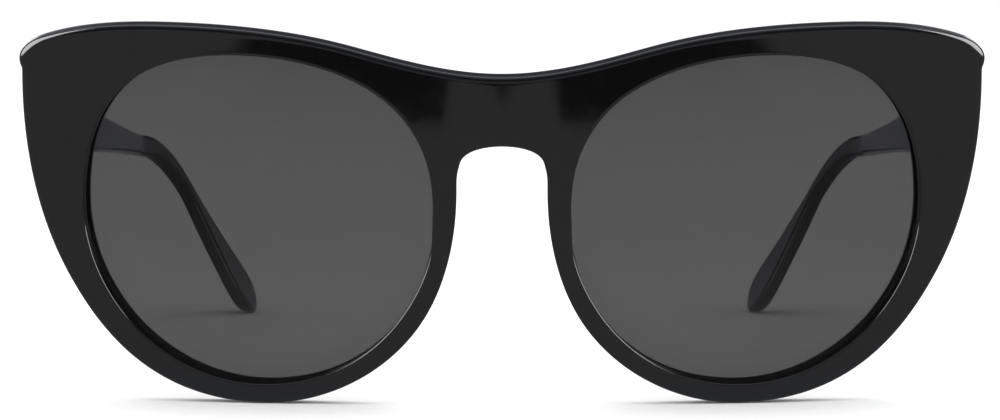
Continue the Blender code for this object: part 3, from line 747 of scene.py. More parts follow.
@dataclass(frozen=True)
class Layout:
    """The lines that the pieces are set out from: the front's bend and lean, the lenses and hinges."""

    bend: float = 0.260
    thickness: float = 0.005
    lean: float = math.radians(6)
    foot_x: float = 0.0362
    foot_y: float = -0.0692
    lens_x: float = 0.037
    lens_z: float = 0.0281
    hinge_x: float = 0.0658
    hinge_y: float = 0.0117
    hinge_z: float = 0.0430
    gap: float = 0.0003
    lens_depth: float = 0.0021
    lens_thickness: float = 0.0017
    lens_radius: float = 0.900
    plate: Vector = field(default_factory=lambda: Vector((0.0035, 0.0014, 0.0145)))
    plate_corner: float = 0.0005
    plate_proud: float = 0.0002
    plate_inset: float = 0.0001
    plate_drop: float = 0.0012

    def lens_rise(self, w: float) -> float:
        """How far back the lens's own bend takes it at the height w over its middle."""
        return self.lens_radius - math.sqrt(self.lens_radius**2 - w * w)

    def surface(self, x: float, depth: float) -> float:
        """How far back the bent front lies at x, this deep under its front face."""
        return self.bend - math.sqrt((self.bend - depth) ** 2 - x * x)

    def stance(self) -> Matrix:
        """Where the leaning front stands."""
        lift = -self.surface(self.foot_x, 0) * math.sin(self.lean)
        return Matrix.Translation((0, self.foot_y, lift)) @ Matrix.Rotation(self.lean, 4, "X")

    def lens_place(self, side: Side) -> Matrix:
        """The lens's own frame inside the front's, with +Y backwards."""
        wrap = side.value * math.asin(self.lens_x / self.bend)
        middle = (side.value * self.lens_x, self.surface(self.lens_x, 0), self.lens_z)
        return Matrix.Translation(middle) @ Matrix.Rotation(wrap, 4, "Z")

    def hinge_place(self, side: Side) -> Matrix:
        """The hinge pin, with its origin at the middle of the knuckles."""
        return Matrix.Translation((side.value * self.hinge_x, self.foot_y + self.hinge_y, self.hinge_z))

    def front_plate_place(self, side: Side) -> Matrix:
        """The front leaf's plate, flush in the back of the end piece, with +Y backwards out of it."""
        x = self.hinge_x - self.plate_inset
        wrap = side.value * math.asin(x / self.bend)
        z = self.hinge_z / math.cos(self.lean) - self.plate_drop
        place = (side.value * x, self.surface(x, self.thickness), z)
        return self.stance() @ Matrix.Translation(place) @ Matrix.Rotation(wrap, 4, "Z")


def mount(piece: bpy.types.Object, body: str, nodes: Sequence[str]) -> bpy.types.Object:
    """Hands a finished piece to its body in place of its CAD nodes, and reports it."""
    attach(piece, body)
    if nodes:
        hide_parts(*nodes)
    LOG.info("%s rides on %s, %d faces", piece.name, body, len(piece.data.polygons))
    return piece


def dress(piece: bpy.types.Object, material: bpy.types.Material) -> bpy.types.Object:
    """Gives a piece one finish."""
    piece.data.materials.clear()
    piece.data.materials.append(material)
    return piece


@dataclass
class Front:
    """The one-piece front: bent sheet with polished edges, two lens openings and the hinge pockets."""

    layout: Layout
    edge_spacing: float = 0.00035
    face_spacing: float = 0.0022
    outer_reach: float = 0.0010
    outer_fall: float = 0.00042
    back_round: float = 0.0006
    polish: float = 0.00002
    opening_round: float = 0.00032
    guard: float = 0.00025
    lip: float = 0.00016
    groove_depth: float = 0.0009

    def build(self) -> bpy.types.Object:
        """Makes the front's mesh.

        Returns:
            The front, cut for its hinge plates.
        """
        shell = Shell("front_frame_polished")
        half = FRONT_KNOTS
        outline = grown(even_loop(half + mirrored(half)[1:-1], self.edge_spacing), -self.polish)
        depth = self.layout.thickness
        levels = edge_round(self.outer_reach, self.outer_fall, 9, self.guard)
        levels += [(0.0, depth * share) for share in (0.3, 0.5, 0.7)]
        back = edge_round(self.back_round, self.back_round, 6, self.guard)
        levels += [(inset, depth - sunk) for inset, sunk in reversed(back)]
        outer = []
        for inset, sunk in levels:
            loop = grown(outline, -inset)
            outer.append(shell.ring([Vector((x, self.layout.surface(x, sunk), z)) for x, z in loop]))
        shell.bands(outer)
        openings = [self.opening(shell, side) for side in Side]
        for index in (0, -1):
            rings = [outer[index]] + [opening[index] for opening in openings]
            sunk = 0 if index == 0 else depth
            shell.fill(rings, self.face_spacing, lambda x, z: Vector((x, self.layout.surface(x, sunk), z)))
        front = shell.finish(self.layout.stance())
        cut(front, [self.pocket(side) for side in Side])
        return settle(front)

    def opening(self, shell: Shell, side: Side) -> list[list[bmesh.types.BMVert]]:
        """One lens opening, from its front edge through the groove to its back edge.

        Args:
            shell: the front's shell.
            side: which lens.

        Returns:
            Its rings, front to back.
        """
        knots = LENS_KNOTS if side is Side.LEFT else mirrored(LENS_KNOTS)
        outline = even_loop(knots, self.edge_spacing)
        place = self.layout.lens_place(side)
        gap, bite = self.layout.gap, self.groove_depth
        seat = self.layout.lens_depth
        rear = seat + self.layout.lens_thickness
        rounded = edge_round(self.opening_round, self.opening_round, 6, self.guard)
        levels = [(inset, sunk, False) for inset, sunk in rounded]
        levels += [(0.0, seat * 0.6, False), (0.0, seat - gap - self.lip, True)]
        levels += [(self.lip, seat - gap, True)]
        levels += [(bite, seat - gap, True), (bite, rear + gap, True), (0.0, rear + gap, True)]
        levels += [(inset, self.layout.thickness - sunk, False) for inset, sunk in reversed(rounded)]
        rings = []
        for grow, sunk, follows_lens in levels:
            points = []
            for u, w in grown(outline, grow):
                level = sunk + (self.layout.lens_rise(w) if follows_lens else 0)
                points.append(place @ Vector((u, self.layout.surface(u, level), w)))
            rings.append(shell.ring(points))
        shell.bands(rings)
        return rings

    def pocket(self, side: Side) -> bpy.types.Object:
        """The pocket for one hinge plate, as a cutter."""
        gap = self.layout.gap * 0.5
        plate = self.layout.plate
        size = plate + Vector((2 * gap, OVERCUT, 2 * gap))
        floor = self.layout.plate_proud - plate.y - gap
        middle = Vector((0, floor + size.y / 2, 0))
        place = self.layout.front_plate_place(side)
        return slab("pocket", size, middle, self.layout.plate_corner, CUTTER_EDGE, place)


@dataclass
class Lens:
    """One tinted lens, thin and bent with the front, its edge sitting in the groove."""

    layout: Layout
    side: Side
    bite: float = 0.0006
    bevel: float = 0.0002
    edge_spacing: float = 0.0006
    face_spacing: float = 0.0022

    def surface(self, u: float, w: float, sunk: float) -> Vector:
        """The point at (u, w), this deep under the lens's own front."""
        front = self.layout.surface(u, self.layout.lens_depth)
        return Vector((u, front + self.layout.lens_rise(w) + sunk, w))

    def build(self) -> bpy.types.Object:
        """Makes the lens with broken edges.

        Returns:
            The lens.
        """
        shell = Shell(f"lens_{self.side.label}_tinted")
        knots = LENS_KNOTS if self.side is Side.LEFT else mirrored(LENS_KNOTS)
        outline = even_loop(knots, self.edge_spacing)
        back = self.layout.lens_thickness
        levels = [(-self.bevel, 0.0), (0.0, self.bevel), (0.0, back - self.bevel), (-self.bevel, back)]
        rings = []
        for grow, sunk in levels:
            loop = grown(outline, self.bite + grow)
            rings.append(shell.ring([self.surface(u, w, sunk) for u, w in loop]))
        shell.bands(rings)
        for ring, sunk in ((rings[0], 0.0), (rings[-1], back)):
            shell.fill([ring], self.face_spacing, lambda u, w: self.surface(u, w, sunk))
        return settle(shell.finish(self.layout.stance() @ self.layout.lens_place(self.side)))


@dataclass
class NosePad:
    """A wedge of acetate on the back of the rim beside the nose, blended off at both ends."""

    layout: Layout
    side: Side
    foot_z: float = 0.0170
    top_z: float = 0.0350
    depth: float = 0.0058
    width: float = 0.0025
    top_x: float = 0.0073
    flare: float = 0.0026
    flare_top_z: float = 0.0295
    flare_height: float = 0.012
    back_slant: float = 0.0016
    sunk: float = 0.00035
    stations: int = 48
    steps: int = 28

    def build(self) -> bpy.types.Object:
        """Makes the pad.

        Returns:
            The pad, sunk a little into the rim it is glued to.
        """
        rings = []
        for i in range(self.stations):
            t = 0.5 - 0.5 * math.cos(math.pi * (i + 0.35) / (self.stations - 0.3))
            z = self.foot_z + t * (self.top_z - self.foot_z)
            swell = (1 - abs(2 * t - 1) ** 2.6) ** 0.62
            near = self.top_x + self.flare * max(0.0, (self.flare_top_z - z) / self.flare_height) ** 1.7
            reach = self.depth * swell
            ring = []
            for step in range(self.steps):
                turn = math.pi * step / (self.steps - 1)
                side = math.cos(turn)
                lift = math.sin(turn)
                across = near + self.width / 2 - self.width / 2 * math.copysign(abs(side) ** 0.55, side)
                height = reach * lift**0.6
                slant = self.back_slant * swell * (1 - step / (self.steps - 1))
                across += slant * (height / self.depth)
                back = self.layout.surface(across, self.layout.thickness)
                ring.append(Vector((self.side.value * across, back + height - self.sunk, z)))
            rings.append(ring)
        pad = lofted(f"nose_pad_{self.side.label}_blended", rings, self.layout.stance(), 60)
        return settle(pad)


@dataclass
class Temple:
    """One arm: a rounded bar along its own path, thinnest over the ear, with a drop end."""

    layout: Layout
    side: Side
    inner_x: float = 0.0678
    thickness: float = 0.0038
    tip_thickness: float = 0.0027
    thinning_start: float = 0.045
    start_y: float = 0.012
    start_z: float = 0.0431
    slope: float = math.radians(6)
    straight: float = 0.100
    ear_radius: float = 0.024
    drop: float = math.radians(60)
    narrowest_in_bend: float = 0.9
    height_at_hinge: float = 0.012
    height_at_ear: float = 0.0035
    height_at_tip: float = 0.0096
    narrowing_power: float = 2.0
    full_height_before_tip: float = 0.0065
    bow: float = 0.007
    bow_start: float = 0.014
    bow_ease: float = 0.012
    toe_in: float = 0.0155
    toe_start: float = 0.094
    toe_power: float = 1.35
    corner: float = 0.0011
    tip_round: float = 0.35
    tip_polish: float = 0.00011
    plate: Vector = field(default_factory=lambda: Vector((0.0011, 0.0105, 0.0080)))
    plate_start: float = 0.0014
    plate_shift: float = 0.0001
    pocket_corner: float = 0.0003
    mouth: Vector = field(default_factory=lambda: Vector((OVERCUT, 0.004, 0.0104)))
    mouth_y: float = 0.0005
    fitted_length: float = 0.0029
    fitted_depth: float = 0.0006

    def length(self) -> float:
        """The length at which the rounded tip touches the ground."""
        after = self.start_z - self.straight * math.sin(self.slope)
        after -= self.ear_radius * (math.cos(self.slope) - math.cos(self.drop))
        rest = (after - self.height_at_tip / 2) / math.sin(self.drop) + self.height_at_tip / 2
        return self.straight + self.ear_radius * (self.drop - self.slope) + rest

    def bowed(self, s: float) -> float:
        """How far the arm has bowed inwards at the length s."""
        run = max(s - self.bow_start, 0)
        eased = min(run, self.bow_ease)
        ramp = eased * eased / (2 * self.bow_ease) + run - eased
        return self.bow * ramp / (self.length() - self.bow_start - self.bow_ease / 2)

    def size(self, s: float) -> tuple[float, float]:
        """The arm's height and thickness at the length s, with its rounded tip."""
        length = self.length()
        ear = self.straight + self.narrowest_in_bend * self.ear_radius * (self.drop - self.slope)
        if s < ear:
            share = (1 - s / ear) ** self.narrowing_power
            height = self.height_at_ear + (self.height_at_hinge - self.height_at_ear) * share
        else:
            growth = min(1, (s - ear) / (length - ear - self.full_height_before_tip))
            height = self.height_at_ear + (self.height_at_tip - self.height_at_ear) * growth
        thinning = min(max((s - self.thinning_start) / (ear - self.thinning_start), 0), 1)
        thickness = self.thickness - (self.thickness - self.tip_thickness) * thinning
        cap = self.height_at_tip / 2
        over = max(0.0, (s - (length - cap)) / cap)
        return height * math.sqrt(max(0.0, 1 - over**2)), thickness * (1 - self.tip_round * over**4)

    def station(self, s: float) -> tuple[float, float, float, float]:
        """The arm at the length s.

        Args:
            s: length along the arm from its hinge end.

        Returns:
            Inner x, y from the front's foot, z and downward angle.
        """
        length = self.length()
        bend = self.ear_radius * (self.drop - self.slope)
        run = min(s, self.straight)
        angle = self.slope + min(max(s - self.straight, 0), bend) / self.ear_radius
        rest = max(s - self.straight - bend, 0)
        y = self.start_y + run * math.cos(self.slope) + rest * math.cos(self.drop)
        y += self.ear_radius * (math.sin(angle) - math.sin(self.slope))
        z = self.start_z - run * math.sin(self.slope) - rest * math.sin(self.drop)
        z -= self.ear_radius * (math.cos(self.slope) - math.cos(angle))
        toe = max(0.0, (s - self.toe_start) / (length - self.toe_start)) ** self.toe_power
        return self.inner_x - self.bowed(s) - self.toe_in * toe, y, z, angle

    def spine(self) -> bpy.types.Object:
        """The line of stations with the size of each section.

        Returns:
            An object of edges that the bar tree sweeps.
        """
        length = self.length()
        cap = self.height_at_tip / 2
        lengths = [0.0, 0.00004, 0.00012, 0.00025]
        lengths += list(np.linspace(0.0008, length - cap, 150))
        lengths += [length - cap * (1 - math.sin(math.radians(turn))) for turn in np.linspace(4, 88.5, 26)]
        ease = {0.0: 0.00025, 0.00004: 0.00014, 0.00012: 0.00005}
        rows = {"spine": [], "rise_way": [], "half_width": [], "half_height": [], "corner": []}
        for s in lengths:
            x, y, z, angle = self.station(s)
            height, thickness = self.size(s)
            _, full = self.size(min(s, length - cap))
            trim = ease.get(s, 0.0)
            rows["spine"].append((self.side.value * (x + full / 2), y + self.layout.foot_y, z))
            rows["rise_way"].append((0.0, math.sin(angle), math.cos(angle)))
            rows["half_width"].append(thickness / 2 - trim)
            polish = self.tip_polish * (s / length) ** 4
            rows["half_height"].append(max(height / 2 - trim - polish, 0.00004))
            rows["corner"].append(max(min(self.corner, 0.49 * height, 0.49 * thickness) - trim, 0.00002))
        mesh = bpy.data.meshes.new("spine")
        mesh.from_pydata(rows["spine"], [(i, i + 1) for i in range(len(lengths) - 1)], [])
        for label, values in rows.items():
            kind = "FLOAT_VECTOR" if isinstance(values[0], tuple) else "FLOAT"
            layer = mesh.attributes.new(label, kind, "POINT")
            key = "vector" if kind == "FLOAT_VECTOR" else "value"
            layer.data.foreach_set(key, np.array(values, np.float32).ravel())
        return added(f"temple_{self.side.label}_polished", mesh)

    def plate_place(self) -> Matrix:
        """The temple leaf's plate in the inner face of the arm."""
        y = self.layout.foot_y + self.layout.hinge_y
        inner = Vector((self.side.value * self.inner_x, y, self.layout.hinge_z))
        return Matrix.Translation(inner) @ Matrix.Rotation(-self.slope, 4, "X")

    def build(self, tree: Tree, material: bpy.types.Material) -> bpy.types.Object:
        """Sweeps the arm, fits its front end to the back of the front and cuts its hinge pocket.

        Args:
            tree: the rounded bar tree.
            material: the arm's finish.

        Returns:
            The arm.
        """
        arm = tree.run(self.spine(), {"Corner Steps": 6, "Material": material})
        foot = self.layout.stance()
        limit = self.layout.foot_y + self.start_y + self.fitted_length
        for vert in arm.data.vertices:
            x, y, z = vert.co
            if y > limit:
                continue
            depth = self.layout.surface(x, self.layout.thickness)
            local_z = z / math.cos(self.layout.lean) - depth * math.tan(self.layout.lean)
            back = (foot @ Vector((0, depth + self.layout.gap, local_z))).y
            nominal = self.layout.foot_y + self.start_y + (z - self.start_z) * math.tan(self.slope)
            behind = y - nominal
            if behind < self.fitted_depth:
                vert.co.y = back + max(behind, 0.0)
        bm = bmesh.new()
        bm.from_mesh(arm.data)
        bmesh.ops.remove_doubles(bm, verts=bm.verts, dist=0.0000005)
        bmesh.ops.recalc_face_normals(bm, faces=bm.faces)
        bm.to_mesh(arm.data)
        bm.free()
        for label in BAR_VECTORS + BAR_SIZES:
            layer = arm.data.attributes.get(label)
            if layer:
                arm.data.attributes.remove(layer)
        shade(arm)
        cut(arm, self.cutters())
        return settle(arm)

    def cutters(self) -> list[bpy.types.Object]:
        """The hinge pocket and the mouth in front of it, as cutters."""
        sign, gap = self.side.value, self.layout.gap * 0.5
        place = self.plate_place()
        depth = self.plate.x / 2 + self.plate_shift + gap
        size = self.plate + Vector((OVERCUT, 2 * gap, 2 * gap))
        middle = Vector((sign * (depth - size.x / 2), self.plate_start + self.plate.y / 2, 0))
        pocket = slab("pocket", size, middle, self.pocket_corner, CUTTER_EDGE, place)
        middle = Vector((sign * (depth - OVERCUT / 2), self.mouth_y, 0))
        return [pocket, slab("mouth", self.mouth, middle, self.pocket_corner, CUTTER_EDGE, place)]


@dataclass
class Hinge:
    """A five-knuckle hinge: a leaf let into the front, one let into the temple, a pin and leaf screws."""

    layout: Layout
    temple: Temple
    knuckle_height: float = 0.0018
    knuckle_space: float = 0.0002
    knuckle_radius: float = 0.0015
    pin_head_radius: float = 0.0013
    pin_head_height: float = 0.0007
    pin_radius: float = 0.0006
    front_tongue: tuple[float, float] = (0.0013, 0.0031)
    temple_tongue: tuple[float, float] = (0.0002, 0.0026)
    tongue_bite: float = 0.0004
    front_screw_z: float = 0.0062
    temple_screws: tuple[tuple[float, float], ...] = ((0.0055, 0.0024), (0.0095, -0.0024))

    def foot(self) -> float:
        """The lowest knuckle's lower face over the hinge's middle."""
        return -(5 * self.knuckle_height + 4 * self.knuckle_space) / 2

    def knuckle(self, name: str, ways: Sequence[tuple[float, float]], level: int) -> bpy.types.Object:
        """One knuckle with its arm, as a rounded eye that runs into a flat tongue.

        Args:
            name: the piece's name.
            ways: the tongue's two end points in the plane of the hinge, walked anticlockwise after the eye.
            level: which knuckle, counted from the lowest.

        Returns:
            The knuckle about the pin.
        """
        start = math.atan2(ways[1][1], ways[1][0])
        end = math.atan2(ways[0][1], ways[0][0])
        while end <= start:
            end += math.tau
        first, last = start + math.radians(52), end - math.radians(52)
        eye = [(math.cos(turn), math.sin(turn)) for turn in np.linspace(first, last, 30)]
        rings = []
        bottom = self.foot() + level * (self.knuckle_height + self.knuckle_space)
        for inset, height in ((0.00012, 0.0), (0.00003, 0.00003), (0.0, 0.00012)):
            rings.append((inset, bottom + height))
        rings += [(inset, 2 * bottom + self.knuckle_height - height) for inset, height in reversed(rings)]
        loops = []
        for inset, height in rings:
            radius = self.knuckle_radius - inset
            loop = [Vector((radius * x, radius * y, height)) for x, y in eye]
            loop += [Vector((x * (1 - inset * 60), y * (1 - inset * 60), height)) for x, y in ways]
            loops.append(loop)
        return lofted(name, loops, None, 40)

    def build_leaf(
        self,
        name: str,
        plate: bpy.types.Object,
        knuckle: bpy.types.Object,
        count: int,
        tree: Tree,
        material: bpy.types.Material,
    ) -> bpy.types.Object:
        """Repeats the knuckle and joins it with its plate.

        Args:
            name: the leaf's name.
            plate: the plate.
            knuckle: the lowest knuckle of this leaf, about the pin.
            count: how many knuckles the leaf has.
            tree: the knuckle tree.
            material: the leaf's finish.

        Returns:
            The leaf.
        """
        pitch = 2 * (self.knuckle_height + self.knuckle_space)
        stack = tree.run(knuckle, {"Count": count, "Pitch": pitch, "Material": material})
        stack.data.transform(self.layout.hinge_place(self.temple.side))
        bm = bmesh.new()
        bm.from_mesh(stack.data)
        bm.from_mesh(plate.data)
        bmesh.ops.recalc_face_normals(bm, faces=bm.faces)
        leaf = dress(from_bmesh(name, bm), material)
        for used in (stack, plate):
            bpy.data.objects.remove(used, do_unlink=True)
        shade(leaf)
        return settle(leaf)

    def build_front_leaf(self, tree: Tree, material: bpy.types.Material) -> bpy.types.Object:
        """The leaf in the front, with three knuckles."""
        place = self.layout.front_plate_place(self.temple.side)
        size = self.layout.plate
        middle = Vector((0, self.layout.plate_proud - size.y / 2, 0))
        plate = slab("plate", size, middle, self.layout.plate_corner, 0.00012, place)
        half, reach = self.front_tongue
        knuckle = self.knuckle("knuckle", ((-half, -reach), (half, -reach)), 0)
        name = f"front_hinge_{self.temple.side.label}_leaf"
        return self.build_leaf(name, plate, knuckle, 3, tree, material)

    def build_temple_leaf(self, tree: Tree, material: bpy.types.Material) -> bpy.types.Object:
        """The leaf in the temple, with two knuckles."""
        sign = self.temple.side.value
        size = self.temple.plate
        middle = Vector((sign * self.temple.plate_shift, self.temple.plate_start + size.y / 2, 0))
        plate = slab("plate", size, middle, 0.00045, 0.0001, self.temple.plate_place())
        reach = self.temple.inner_x - self.layout.hinge_x + self.tongue_bite
        tongue = [(sign * reach, end) for end in self.temple_tongue]
        ways = tongue if sign > 0 else tongue[::-1]
        knuckle = self.knuckle("knuckle", ways, 1)
        name = f"temple_hinge_{self.temple.side.label}_leaf"
        return self.build_leaf(name, plate, knuckle, 2, tree, material)

    def build_pin(self, material: bpy.types.Material) -> bpy.types.Object:
        """The pin screw, with a slotted domed head and a threaded end.

        Args:
            material: the screw's finish.

        Returns:
            The screw.
        """
        top = self.foot() + 5 * self.knuckle_height + 4 * self.knuckle_space + self.layout.gap
        foot = self.foot()
        head, radius, height = self.pin_head_radius, self.pin_radius, self.pin_head_height
        dome = ((0.30, 1.0), (0.62, 0.95), (0.86, 0.80), (1.0, 0.52))
        profile = [(head * across, top + height * up) for across, up in dome]
        profile += [(head, top + 0.00005), (head - 0.00005, top), (radius, top)]
        thread = np.linspace(foot + 0.0018, foot + 0.0002, 15)
        profile += [(radius - (0.00008 if i % 2 else 0.0), z) for i, z in enumerate(thread)]
        profile += [(radius * 0.7, foot)]
        place = self.layout.hinge_place(self.temple.side)
        pin = turned(f"hinge_screw_{self.temple.side.label}_slotted", profile, 40, place)
        place = place @ Matrix.Rotation(math.radians(24), 4, "Z")
        slot = driver_slot("slot", Vector((0.00036, 0.0008, 0.004)), top + height, place)
        cut(pin, [slot])
        return dress(settle(pin), material)

    def screw_points(self, name: str, front: bool) -> bpy.types.Object:
        """The leaf screws' places and ways.

        Args:
            name: the piece's name.
            front: whether for the front leaf.

        Returns:
            An object of points with the attribute way.
        """
        if front:
            place = self.layout.front_plate_place(self.temple.side)
            heights = (self.front_screw_z, -self.front_screw_z)
            spots = [Vector((0, self.layout.plate_proud, z)) for z in heights]
            way = (place.to_3x3() @ Vector((0, 1, 0))).normalized()
        else:
            place = self.temple.plate_place()
            sign = self.temple.side.value
            surface = sign * (self.temple.plate_shift - self.temple.plate.x / 2)
            spots = [Vector((surface, y, z)) for y, z in self.temple_screws]
            way = (place.to_3x3() @ Vector((-sign, 0, 0))).normalized()
        points = [place @ spot + way * (self.layout.gap / 2) for spot in spots]
        mesh = bpy.data.meshes.new(name)
        mesh.from_pydata([tuple(point) for point in points], [], [])
        layer = mesh.attributes.new("way", "FLOAT_VECTOR", "POINT")
        layer.data.foreach_set("vector", np.array([tuple(way)] * len(points), np.float32).ravel())
        return added(name, mesh)


def driver_slot(name: str, size: Vector, height: float, place: Matrix) -> bpy.types.Object:
    """A cutter for one slot across a screw's head, this high in the screw's own frame."""
    slot = slab(name, size, Vector(), 0.00003, 0.00002, Matrix.Identity(4))
    upright = Matrix.Rotation(math.radians(90), 4, "X")
    slot.data.transform(place @ Matrix.Translation((0, 0, height)) @ upright)
    return slot


def turned(
    name: str, profile: Sequence[tuple[float, float]], segments: int, place: Matrix | None = None
) -> bpy.types.Object:
    """A solid of revolution about Z from (radius, z) pairs, top to bottom."""
    turns = [math.tau * i / segments for i in range(segments)]
    rings = []
    for radius, z in profile:
        rings.append([Vector((radius * math.cos(turn), radius * math.sin(turn), z)) for turn in turns])
    return lofted(name, rings, place, 32)


@dataclass
class LeafScrew:
    """A small cross-recessed pan-head screw, made once and set wherever a leaf needs one."""

    head_radius: float = 0.0008
    head_height: float = 0.0004
    shank_radius: float = 0.0004
    length: float = 0.0024

    def build(self) -> bpy.types.Object:
        """Makes the screw with its head on z = 0.

        Returns:
            The screw, to be copied and then removed.
        """
        head, height, shank = self.head_radius, self.head_height, self.shank_radius
        profile = [(head * 0.35, height), (head * 0.68, height * 0.92), (head * 0.92, height * 0.62)]
        profile += [(head, height * 0.22), (head * 0.97, 0.0), (shank, 0.0)]
        thread = np.linspace(-0.0003, -self.length * 0.82, 12)
        profile += [(shank - (0.00007 if i % 2 else 0.0), z) for i, z in enumerate(thread)]
        profile += [(shank * 0.3, -self.length)]
        screw = turned("leaf_screw", profile, 28)
        arms = []
        for angle in (0, 90):
            place = Matrix.Rotation(math.radians(angle), 4, "Z")
            arms.append(driver_slot("recess", Vector((0.00019, 0.00044, 0.0009)), height, place))
        cut(screw, arms)
        return settle(screw)


# ---------------------------------------------------------------- the studio


@dataclass
class Card:
    """A softbox or a grey card that only reflections see."""

    name: str
    size: tuple[float, float]
    place: Matrix
    colour: str
    strength: float

    def build(self) -> bpy.types.Object:
        """Makes the card, facing its own +Z.

        Returns:
            The card.
        """
        width, height = self.size
        bm = bmesh.new()
        bmesh.ops.create_grid(bm, x_segments=1, y_segments=1, size=0.5)
        bmesh.ops.transform(bm, matrix=self.place @ Matrix.Diagonal((width, height, 1, 1)), verts=bm.verts)
        obj = from_bmesh(self.name, bm)
        material, tree = empty_material(self.name)
        inputs = {"Color": linear(self.colour), "Strength": self.strength}
        glow = add_node(tree, "ShaderNodeEmission", {}, inputs)
        add_node(tree, "ShaderNodeOutputMaterial", {}, {"Surface": glow.outputs[0]})
        dress(obj, material)
        obj.visible_camera = False
        obj.visible_diffuse = False
        obj.visible_transmission = False
        obj.visible_shadow = False
        return obj


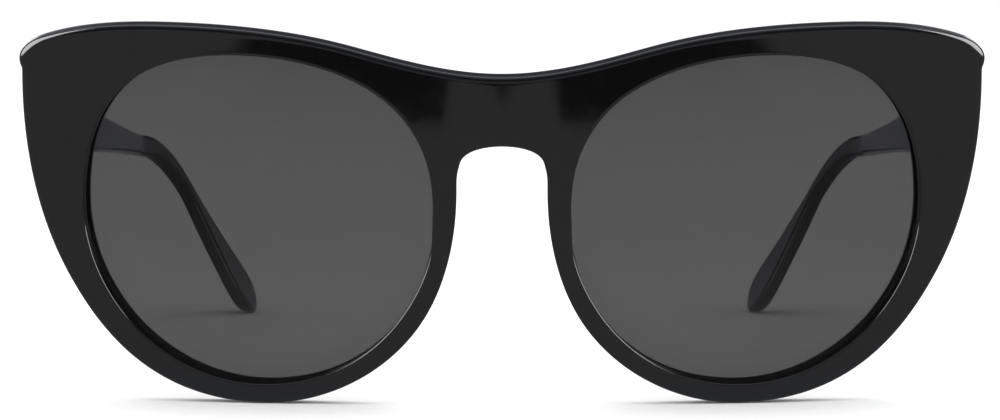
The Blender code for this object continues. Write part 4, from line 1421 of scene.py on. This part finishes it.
@dataclass
class Studio:
    """A flat white floor, soft light from above, and a long-lens camera in front."""

    layout: Layout
    camera_height: float = 0.0755
    camera_distance: float = 0.6001
    camera_pitch: float = math.radians(4.365)
    focal_length: float = 143.64
    shift_x: float = -0.002

    def build(self) -> None:
        """Sets the camera, light, floor and world."""
        self.build_camera()
        self.build_floor()
        self.build_light()
        self.build_world()
        bpy.context.scene.view_settings.view_transform = "Standard"

    def build_camera(self) -> None:
        """Sets the camera in front of the bridge."""
        data = bpy.data.cameras.new("camera")
        data.sensor_width = 36
        data.lens = self.focal_length
        data.shift_x = self.shift_x
        data.clip_start = 0.01
        camera = added("camera", data)
        camera.location = (0, self.layout.foot_y - self.camera_distance, self.camera_height)
        camera.rotation_euler = (math.radians(90) - self.camera_pitch, 0, 0)
        bpy.context.scene.camera = camera

    def build_floor(self) -> None:
        """Makes the floor: matt white card, with the faint fibre of its surface."""
        bm = bmesh.new()
        bmesh.ops.create_grid(bm, x_segments=8, y_segments=8, size=3)
        floor = from_bmesh("floor", bm)
        material, tree = empty_material("white_card")
        place = add_node(tree, "ShaderNodeTexCoord", {}, {}).outputs["Object"]
        fibre = add_node(tree, "ShaderNodeTexNoise", {}, {"Vector": place, "Scale": 400.0, "Detail": 2.0})
        inputs = {"Factor": fibre.outputs["Fac"], MIX_A: linear("#f4f4f4"), MIX_B: linear("#fafafa")}
        colour = add_node(tree, "ShaderNodeMix", {"data_type": "RGBA"}, inputs).outputs[MIX_RESULT]
        dress(floor, close_material(material, {"Base Color": colour, "Roughness": 0.9}))
        floor.visible_glossy = False

    def build_light(self) -> None:
        """Hangs a large softbox over the table and sets the cards that the gloss reflects."""
        data = bpy.data.lights.new("overhead_softbox", "AREA")
        data.shape = "RECTANGLE"
        data.size = 1.6
        data.size_y = 1.2
        data.energy = 8
        light = added("overhead_softbox", data)
        light.location = (0, 0.1, 1.1)
        light.visible_glossy = False
        above = Matrix.Translation((0, 0.25, 1.1)) @ Matrix.Rotation(math.pi, 4, "X")
        behind = Matrix.Translation((0, 1.2, -0.05)) @ Matrix.Rotation(math.radians(90), 4, "X")
        cards = [
            Card("table_reflection", (3.0, 2.2), Matrix.Translation((0, -1.178, 0.0)), "#c9cacc", 0.8),
            Card("overhead_reflection", (1.4, 1.0), above, "#ffffff", 2.2),
            Card("back_reflection", (3.0, 0.5), behind, "#eef0f6", 1.15),
        ]
        point = Matrix.Translation((0, self.layout.foot_y - 0.275, 0.001))
        stretched = point @ Matrix.Diagonal((0.035, 0.141, 1, 1))
        diamond = stretched @ Matrix.Rotation(math.radians(45), 4, "Z")
        cards.append(Card("dark_flag_middle", (1.0, 1.0), diamond, "#3c3d40", 0.8))
        for side in Side:
            turn = Matrix.Rotation(side.value * math.radians(62), 4, "Z")
            place = turn @ Matrix.Translation((0, -0.9, 0.3)) @ Matrix.Rotation(math.radians(-90), 4, "X")
            cards.append(Card(f"side_reflection_{side.label}", (0.5, 1.0), place, "#ffffff", 12.0))
            flag = Matrix.Translation((side.value * 0.072, self.layout.foot_y - 0.285, 0.001))
            cards.append(Card(f"dark_flag_{side.label}", (0.100, 0.25), flag, "#3c3d40", 0.6))
        [card.build() for card in cards]

    def build_world(self) -> None:
        """Makes the world: plain white to the camera and matt surfaces, a grey room in reflections."""
        world = bpy.data.worlds.new("studio")
        world.use_nodes = True
        tree = world.node_tree
        tree.nodes.clear()
        way = add_node(tree, "ShaderNodeTexCoord", {}, {}).outputs["Generated"]
        height = add_node(tree, "ShaderNodeSeparateXYZ", {}, {0: way}).outputs["Z"]
        ramp = add_node(tree, "ShaderNodeValToRGB", {}, {0: height})
        stops = ((0.0, "#b4b7bc"), (0.1, "#8a8d92"), (0.24, "#3f4145"), (0.5, "#7d8085"), (0.8, "#e4e6ea"))
        for element, (position, colour) in zip(ramp.color_ramp.elements, (stops[0], stops[-1])):
            element.position = position
            element.color = linear(colour)
        for position, colour in stops[1:-1]:
            ramp.color_ramp.elements.new(position).color = linear(colour)
        room = add_node(tree, "ShaderNodeBackground", {}, {"Color": ramp.outputs[0], "Strength": 1.0})
        white = add_node(tree, "ShaderNodeBackground", {}, {"Color": (1, 1, 1, 1), "Strength": 1.15})
        ray = add_node(tree, "ShaderNodeLightPath", {}, {}).outputs
        inputs = {0: ray["Is Camera Ray"], 1: ray["Is Diffuse Ray"]}
        seen = add_node(tree, "ShaderNodeMath", {"operation": "MAXIMUM"}, inputs).outputs[0]
        inputs = {0: seen, 1: room.outputs[0], 2: white.outputs[0]}
        mixed = add_node(tree, "ShaderNodeMixShader", {}, inputs)
        add_node(tree, "ShaderNodeOutputWorld", {}, {"Surface": mixed.outputs[0]})
        bpy.context.scene.world = world


# ---------------------------------------------------------------- making them all


def make_glasses(layout: Layout, finishes: Finishes) -> None:
    """Builds every piece in order and hands it to its body.

    Args:
        layout: the lines that the pieces are set out from.
        finishes: their finishes.
    """
    bar, knuckles, screws = bar_tree(), knuckle_tree(), screw_tree()
    mount(dress(Front(layout).build(), finishes.acetate), "front", ["front_frame"])
    leaf_screw = LeafScrew().build()
    dress(leaf_screw, finishes.screw)
    for side in Side:
        label, arm_body = side.label, f"{side.label}_temple"
        lens = dress(Lens(layout, side).build(), finishes.lens)
        mount(lens, "front", [f"lens_{label}"])
        pad = dress(NosePad(layout, side).build(), finishes.acetate)
        mount(pad, "front", [f"nose_pad_{label}"])
        temple = Temple(layout, side)
        arm = dress(temple.build(bar, finishes.acetate), finishes.acetate)
        mount(arm, arm_body, [f"temple_{label}"])
        hinge = Hinge(layout, temple)
        front_leaf = hinge.build_front_leaf(knuckles, finishes.hinge)
        mount(front_leaf, "front", [f"front_hinge_{label}"])
        temple_leaf = hinge.build_temple_leaf(knuckles, finishes.hinge)
        mount(temple_leaf, arm_body, [f"temple_hinge_{label}"])
        mount(hinge.build_pin(finishes.screw), "front", [f"hinge_screw_{label}"])
        for front, body, stem in ((True, "front", "front"), (False, arm_body, "temple")):
            points = hinge.screw_points(f"{stem}_leaf_screws_{label}", front)
            values = {"Screw": leaf_screw, "Seed": 7, "Material": finishes.screw}
            piece = screws.run(points, values)
            shade(piece)
            nodes = [f"{stem}_leaf_screw_{label}_{i}" for i in (1, 2)]
            mount(dress(piece, finishes.screw), body, nodes)
        dress(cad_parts[f"core_wire_{label}"], finishes.wire)
    bpy.data.objects.remove(leaf_screw, do_unlink=True)


def main() -> None:
    """Builds the glasses and the studio."""
    logging.basicConfig(level=logging.INFO, format="%(name)s: %(message)s")
    layout = Layout()
    make_glasses(layout, Finishes())
    Studio(layout).build()


if __name__ == "__main__":
    main()
